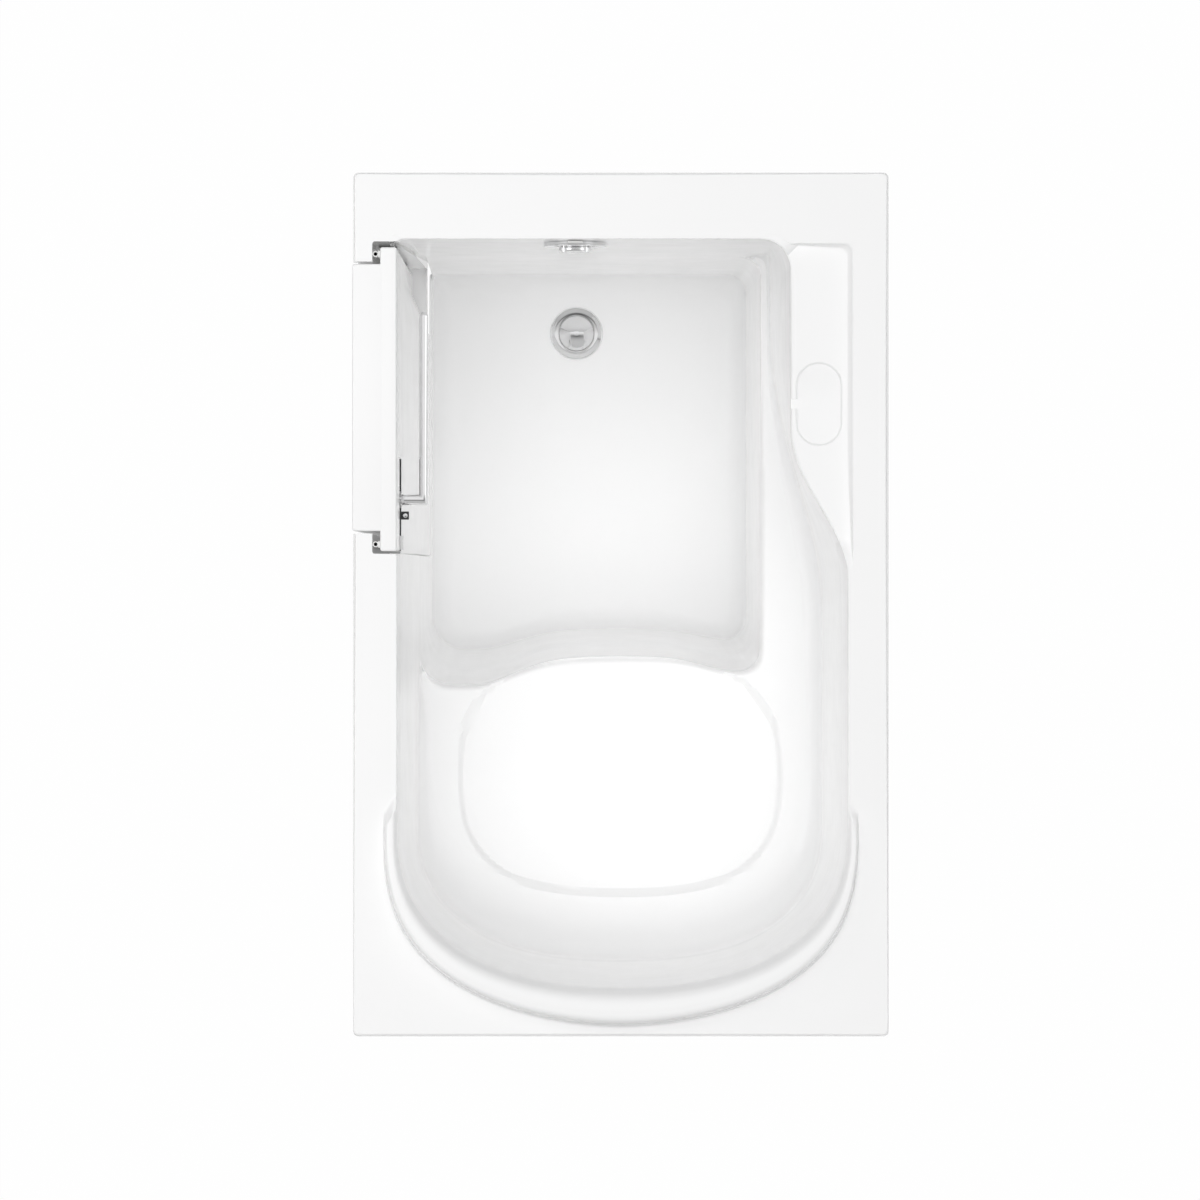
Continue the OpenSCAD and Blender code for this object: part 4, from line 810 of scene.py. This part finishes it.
# The inner face's lower part leans with the bath's wall, and eases away towards the hinges.
doorBelly = {
    "x0": -0.3145, "x1": -0.2848, "z0": 0.1965, "z1": 0.742, "y0": 0.0718, "y1": 0.468,
    "ease": 0.066, "round": 0.003, "around": 24}


def makeBelly():
    g = doorBelly
    start = (doorMoulding["flangeX1"] - g["x0"]) * 0.5
    depth = g["x1"] - doorMoulding["flangeX1"]
    rings = []
    stations = [g["y0"] + k for k in (0.0, 0.0006, 0.0016, 0.003)]
    stations += [mixed(g["y0"] + 0.02, g["y1"] - g["ease"], i / 4) for i in range(5)]
    stations += [g["y1"] - g["ease"] * (1 - i / 12) for i in range(1, 13)]
    for y in stations:
        near = min(1.0, (y - g["y0"]) / g["round"])
        swell = min(1.0, (g["y1"] - y) / g["ease"]) * (0.7 + 0.3 * math.sqrt(max(0.0, 1 - (1 - near) ** 2)))
        ring = [(g["x0"], y, g["z0"]), (g["x0"], y, g["z1"])]
        for i in range(g["around"] + 1):
            share = i / g["around"]
            reach = start + depth * swell * (0.35 * share + 0.65 * smooth(share ** 0.8))
            ring.append((g["x0"] + max(0.0004, reach), y, mixed(g["z1"], g["z0"], share)))
        rings.append(ring)
    mesh = bmesh.new()
    loftRings(mesh, rings)
    return newPiece("belly", mesh, [acrylic])


def makeDoor():
    d = doorMoulding
    flange = boxCutter((d["flangeX0"], d["flangeY0"], d["flangeZ0"]),
                       (d["flangeX1"], d["flangeY1"], d["top"]), d["round"])
    body = boxCutter((d["bodyX0"], d["bodyY0"], d["bodyZ0"]),
                     (d["flangeX0"] + d["overlap"], d["bodyY1"], d["top"]), d["round"])
    combine(flange, "UNION", [body])
    filletBehind(flange)
    combine(flange, "UNION", [makeBelly()])
    cutters = [boxCutter(*d["pocket"]), roundCutter(d["bush"], (1, 0, 0), d["bushR"], d["bushDeep"])]
    for z in d["hingeZs"]:
        cutters.append(roundCutter((d["hingeX"], d["hingeY"], z), (0, 0, 1), d["hingeR"], d["hingeRoom"], 48))
    combine(flange, "DIFFERENCE", cutters)
    shadeByAngle(flange, 35)
    flange.name = "doorMoulding"
    return flange


doorPiece = makeDoor()
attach(doorPiece, "door")
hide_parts("door_body", "door_liner")
print("stage: door moulding,", len(doorPiece.data.polygons), "faces")


# A turned piece: a profile of [radius, height] spun round Z, then laid along the axis.
def spun(name, profile, at, axis, material, segments):
    mesh = bmesh.new()
    line = [mesh.verts.new((r, 0, h)) for r, h in profile]
    edges = [mesh.edges.new(pair) for pair in zip(line, line[1:])]
    if profile[0][0] > 0:
        edges.append(mesh.edges.new((line[-1], line[0])))
    bmesh.ops.spin(mesh, geom=line + edges, cent=(0, 0, 0), axis=(0, 0, 1), angle=2 * math.pi, steps=segments,
                   use_merge=True, use_duplicate=False)
    bmesh.ops.remove_doubles(mesh, verts=mesh.verts[:], dist=0.00001)
    layAlong(mesh, at, axis)
    piece = newPiece(name, mesh, [material])
    shadeByAngle(piece, 40)
    return piece


def curved(points, steps=5):
    return [tuple(p) for p in throughPoints([Vector(p) for p in points], steps)]


waste = {
    "at": (-0.065, 0.411, 0.0), "floor": 0.14, "bore": 0.026, "outer": 0.0405, "rise": 0.003,
    "plugR": 0.0262, "plugLow": 0.1417, "plugRise": 0.0075, "stemR": 0.004, "stemZ": 0.11}


def makeWaste():
    w = waste
    low, top = w["floor"], w["floor"] + w["rise"]
    outer, bore = w["outer"], w["bore"]
    ring = curved([(outer, low + 0.0004), (outer - 0.0005, low + 0.0018), (outer - 0.002, top),
                   (outer - 0.004, top - 0.0003), (bore + 0.006, low + 0.0017), (bore + 0.001, low + 0.0012),
                   (bore, low + 0.0006)])
    flange = spun("wasteFlange", ring + [(bore, low), (outer, low)], w["at"], (0, 0, 1), chrome, 128)
    lid, r = w["plugLow"], w["plugR"]
    dome = curved([(r - 0.0008, lid), (r, lid + 0.0007), (r - 0.0012, lid + 0.0016), (r * 0.8, lid + 0.0038),
                   (r * 0.5, lid + 0.0061), (r * 0.2, lid + 0.0073), (0.0, lid + w["plugRise"])])
    profile = [(0.0, w["stemZ"]), (w["stemR"], w["stemZ"]), (w["stemR"], lid)] + dome
    plug = spun("wastePlug", profile, w["at"], (0, 0, 1), chrome, 128)
    return flange, plug


wasteFlange, wastePlug = makeWaste()
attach(wasteFlange, "tub")
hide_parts("waste_flange")
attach(wastePlug, "waste_plug")
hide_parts("plug")


overflow = {
    "x": -0.064, "z": 0.862, "backY": 0.505, "faceR": 0.045, "faceT": 0.0025, "shaftR": 0.00405,
    "knobY": 0.5022, "knobR": 0.023, "knobT": 0.007, "stemR": 0.004, "stemDeep": 0.024,
    "gripR": 0.006, "gripReach": 0.0262, "behind": 0.0034,
    "highlightTab": [(-0.0745, 0.5056, 0.893), (-0.0535, 0.5086, 0.918)], "highlightTabRound": 0.0012}


def makeOverflow():
    o = overflow
    r, t = o["faceR"], o["faceT"]
    edge = curved([(r - 0.0032, 0.0), (r - 0.0008, 0.0004), (r, 0.0014), (r - 0.0006, t)], 4)
    edge = [(reach, t - h) for reach, h in edge]
    plate = [(o["shaftR"], -o["behind"]), (r - 0.0006, -o["behind"])] + edge[::-1][1:] + [(o["shaftR"], t)]
    face = spun("overflowFace", plate, (o["x"], o["backY"], o["z"]), (0, -1, 0), chrome, 128)
    r, t = o["knobR"], o["knobT"]
    cap = curved([(r - 0.0008, 0.0), (r, 0.001), (r, t - 0.0022), (r - 0.0012, t - 0.0006),
                  (r - 0.004, t - 0.0001), (r * 0.5, t), (0.0, t)], 4)
    stem = [(0.0, -o["stemDeep"]), (o["stemR"], -o["stemDeep"]), (o["stemR"], 0.0)]
    knob = spun("overflowKnob", stem + cap, (o["x"], o["knobY"], o["z"]), (0, -1, 0), chrome, 128)
    grips = []
    for i in range(4):
        a = math.pi / 4 * (2 * i + 1)
        x, z = o["x"] + o["gripReach"] * math.cos(a), o["z"] + o["gripReach"] * math.sin(a)
        grips.append(roundCutter((x, o["knobY"] - t / 2, z), (0, 1, 0), o["gripR"], t * 2, 32))
    combine(knob, "DIFFERENCE", grips)
    shadeByAngle(knob, 35)
    # The white rubber tab above the knob is a painted highlight: a white block standing for a bright
    # reflection on the chrome.
    highlightTab = boxCutter(*o["highlightTab"], o["highlightTabRound"])
    highlightTab.name = "overflowHighlightTab"
    highlightTab.data.materials[0] = whiteRubber
    shadeByAngle(highlightTab, 35)
    return face, knob, highlightTab


overflowFace, overflowKnob, overflowHighlightTab = makeOverflow()
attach(overflowHighlightTab, "tub")
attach(overflowFace, "tub")
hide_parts("overflow_face")
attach(overflowKnob, "knob")
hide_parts("overflow_knob")
print("stage: waste and overflow")


# The lever: one rounded bar that turns a mitred corner and tapers to its end.
lever = {
    "x0": -0.3114, "y": 0.1485, "z": 0.79, "barX": -0.2795, "halfStem": 0.0075, "halfBar": 0.0065,
    "halfHeight": 0.01, "tipHeight": 0.006, "tip": 0.4145, "tipRound": 0.006, "power": 2.6, "around": 48}


def makeLever():
    v = lever
    around = []
    for i in range(v["around"]):
        a = 2 * math.pi * i / v["around"]
        around.append([math.copysign(abs(k) ** (2 / v["power"]), k) for k in (math.cos(a), math.sin(a))])

    def stemRing(x, size=1.0):
        return [(x, v["y"] + v["halfStem"] * u * size, v["z"] + v["halfHeight"] * w * size)
                for u, w in around]

    def barRing(y, size=1.0):
        share = (y - v["y"] - v["halfStem"]) / (v["tip"] - v["y"] - v["halfStem"])
        height = mixed(v["halfHeight"], v["tipHeight"], max(0.0, share))
        return [(v["barX"] - v["halfBar"] * u * size, y, v["z"] + height * w * size) for u, w in around]

    rings = [stemRing(v["x0"], 0.9), stemRing(v["x0"] + 0.0004, 0.97), stemRing(v["x0"] + 0.001)]
    rings += [stemRing(mixed(v["x0"] + 0.001, v["barX"] - v["halfBar"] - 0.0004, i / 6)) for i in range(1, 7)]
    rings.append([(v["barX"] - v["halfBar"] * u, v["y"] + v["halfStem"] * u, v["z"] + v["halfHeight"] * w)
                  for u, w in around])
    first, last = v["y"] + v["halfStem"] + 0.0004, v["tip"] - v["tipRound"]
    rings += [barRing(mixed(first, last, i / 24)) for i in range(25)]
    for i in range(1, 9):
        a = math.pi / 2 * i / 9
        rings.append(barRing(last + v["tipRound"] * math.sin(a), math.cos(a) ** 0.8))
    mesh = bmesh.new()
    loftRings(mesh, rings)
    piece = newPiece("leverBar", mesh, [chrome])
    shadeByAngle(piece, 36)
    return piece


leverPiece = makeLever()
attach(leverPiece, "latch_lever")
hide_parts("lever")
print("stage: lever")


# The hinge pins: the upper one is longer, and its round head stands just under the rim.
hinge = {
    "x": -0.3192, "y": 0.5024, "pinR": 0.002, "headR": 0.0034, "zs": (0.34, 0.8), "half": 0.043, "top": 0.934}


def makePins():
    h = hinge
    low, high = h["zs"]
    for name, z, top in (("hingePinLow", low, low + h["half"]), ("hingePinHigh", high, h["top"])):
        head = curved([(h["headR"] - 0.0004, top), (h["headR"], top + 0.0004), (h["headR"], top + 0.0008),
                       (h["headR"] * 0.6, top + 0.0017), (0.0, top + 0.002)], 3)
        profile = [(0.0, z - h["half"]), (h["pinR"], z - h["half"]), (h["pinR"], top)] + head
        yield spun(name, profile, (h["x"], h["y"], 0), (0, 0, 1), hingeSteel, 48)


lowPin, highPin = makePins()
for pin in (lowPin, highPin):
    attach(pin, "tub")
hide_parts("hinge_pins")


# The bolt's stop: a dark block with eased edges, and a bright round screw with its slot.
boltStop = {
    "x0": -0.3117, "x1": -0.3007, "y0": 0.1205, "y1": 0.132, "z0": 0.7647, "z1": 0.7767, "ease": 0.0007,
    "screwR": 0.0032, "screwT": 0.0018, "slot": 0.0006, "slotDeep": 0.0012}


def makeStop():
    p = boltStop
    block = boxCutter((p["x0"], p["y0"], p["z0"]), (p["x1"], p["y1"], p["z1"]), p["ease"], 3)
    block.name = "boltStopBlock"
    block.data.materials[0] = darkSteel
    shadeByAngle(block, 35)
    r, t = p["screwR"], p["screwT"]
    head = curved([(r, 0.0), (r, t - 0.0008), (r - 0.0006, t - 0.0002), (r * 0.6, t - 0.0001), (0.0, t)], 3)
    x, y, top = (p["x0"] + p["x1"]) / 2 + 0.0004, (p["y0"] + p["y1"]) / 2, p["z1"] + t
    screw = spun("boltStopScrew", [(0.0, 0.0)] + head, (x, y, p["z1"]), (0, 0, 1), chrome, 48)
    slotRoom = boxCutter((x - r, y - p["slot"], top - p["slotDeep"]), (x + r, y + p["slot"], top + 0.001))
    combine(screw, "DIFFERENCE", [slotRoom])
    shadeByAngle(screw, 35)
    return block, screw


stopBlock, stopScrew = makeStop()
for piece in (stopBlock, stopScrew):
    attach(piece, "bolt")
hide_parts("bolt_stop")


# The ring that covers the spindle's bush on the flange's face.
leverRing = {"x": -0.316, "y": 0.1485, "z": 0.79, "holeR": 0.0082, "ringR": 0.0088, "reach": 0.0068}


def makeRing():
    g = leverRing
    profile = [(g["holeR"], 0.0), (g["ringR"], 0.0), (g["ringR"], g["reach"] - 0.0003),
               (g["ringR"] - 0.0002, g["reach"]), (g["holeR"], g["reach"])]
    return spun("leverRing", profile, (g["x"], g["y"], g["z"]), (1, 0, 0), chrome, 64)


ring = makeRing()
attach(ring, "door")
print("stage: pins, stop and ring")


# Camera straight above the bath, as in the photograph.
view = {
    "rimHeight": 0.94, "distance": 9.0, "frameWidth": 1.6735,
    "centreX": -0.0293, "centreY": 0.0063, "sensor": 0.036}


def addCamera():
    lens = view["sensor"] * view["distance"] / view["frameWidth"] * 1000
    data = bpy.data.cameras.new("overhead")
    data.lens = lens
    data.sensor_width = view["sensor"] * 1000
    data.clip_end = 60
    camera = bpy.data.objects.new("overhead", data)
    camera.location = (view["centreX"], view["centreY"], view["rimHeight"] + view["distance"])
    bpy.context.scene.collection.objects.link(camera)
    bpy.context.scene.camera = camera


# The sky's brightness goes by the height of the direction, with one ramp for plain light and one
# for reflections, which also show a bright panel, a strip and a dark gap.
studio = {
    "floorSize": 14.0, "floorTone": 0.36, "floorGlow": 0.99, "skyTop": 5.0,
    "sky": [(0.0, 0.12), (0.4, 0.26), (0.7, 0.36), (0.84, 0.5), (0.93, 2.6), (1.0, 2.84)],
    "mirrored": [(0.0, 0.1), (0.25, 0.35), (0.5, 0.5), (1.0, 0.52)],
    "low": 0.2, "high": 0.45, "panelStart": -0.02, "panelEdge": 0.05, "panelGain": 0.3,
    "stripAt": 0.75, "stripWidth": 0.16, "stripGain": 0.9,
    "gapX": 0.4, "gapY": 0.17, "gapEdge": -0.03, "gapFade": 0.06, "gapDepth": 0.5,
    "lamps": [{"at": (-1.6, 0.3, 2.4), "to": (0, 0, 0.9), "size": 1.4, "watts": 5.6}]}


def bell(look, value, middle, width):
    offset = (value - middle) / width
    return look.node("ShaderNodeMath", {"operation": "EXPONENT"}, [offset * offset * -1.0])


def addSky():
    world = bpy.data.worlds.new("studioSky")
    bpy.context.scene.world = world
    world.use_nodes = True
    sky = Shading(world.node_tree)
    coords = sky.node("ShaderNodeTexCoord", output="Generated")
    across, along, up = [sky.node("ShaderNodeSeparateXYZ", values=[coords], output=axis) for axis in "XYZ"]
    top = studio["skyTop"]
    plain, mirrored = [sky.ramp(up, [(z, grey(level / top)) for z, level in studio[name]]) * top
                       for name in ("sky", "mirrored")]
    high = sky.ease(up, studio["low"], studio["high"])
    panel = sky.ease(along, studio["panelStart"], studio["panelEdge"])
    strip = bell(sky, across, studio["stripAt"], studio["stripWidth"]) * studio["stripGain"]
    behind = sky.ease(along, studio["gapEdge"], studio["gapEdge"] - studio["gapFade"])
    middle = bell(sky, across, 0.0, studio["gapX"])
    gap = middle * bell(sky, along, studio["gapEdge"], studio["gapY"]) * behind
    mirrored = mirrored + high * (panel * studio["panelGain"] + strip) - gap * studio["gapDepth"]
    glossy, camera = sky.rays("Glossy", "Camera")
    light = sky.node("ShaderNodeMix", {"data_type": "FLOAT"}, {0: glossy, 2: plain, 3: mirrored})
    shown = sky.node("ShaderNodeMix", {"data_type": "FLOAT"}, {0: camera, 2: light, 3: 1.0})
    back = sky.nodes["Background"]
    back.inputs["Color"].default_value = (1, 1, 1, 1)
    sky.links.new(shown.socket, back.inputs["Strength"])


def addLamps():
    for i, lamp in enumerate(studio["lamps"]):
        data = bpy.data.lights.new(f"softbox{i}", "AREA")
        data.shape = "DISK"
        data.size = lamp["size"]
        data.energy = lamp["watts"]
        light = bpy.data.objects.new(f"softbox{i}", data)
        aim = Vector(lamp["to"]) - Vector(lamp["at"])
        turn = aim.to_track_quat("-Z", "Y").to_matrix().to_4x4()
        light.matrix_world = Matrix.Translation(lamp["at"]) @ turn
        bpy.context.scene.collection.objects.link(light)


# A pale floor that takes the bath's shadow, lifted towards white where it is seen or mirrored.
def addFloor():
    mesh = bmesh.new()
    bmesh.ops.create_grid(mesh, x_segments=1, y_segments=1, size=studio["floorSize"] / 2)
    look = Finish("paleFloor", Roughness=0.9)
    look.shader.inputs["Base Color"].default_value = (*grey(studio["floorTone"]), 1)
    glow = look.node("ShaderNodeEmission", values={"Color": (1, 1, 1, 1), "Strength": 1.0})
    camera, glossy, through = look.rays("Camera", "Glossy", "Transmission")
    seen = look.node("ShaderNodeMath", {"operation": "MINIMUM"}, (camera + glossy + through, 1.0))
    plain = Sock(look, look.shader.outputs["BSDF"])
    mix = look.node("ShaderNodeMixShader", values={0: seen * studio["floorGlow"], 1: plain, 2: glow})
    look.links.new(mix.socket, look.nodes["Material Output"].inputs["Surface"])
    newPiece("studioFloor", mesh, [look.material], clean=False)


addCamera()
addSky()
addLamps()
addFloor()
bpy.context.scene.view_settings.view_transform = "Standard"
print("stage: camera and light")
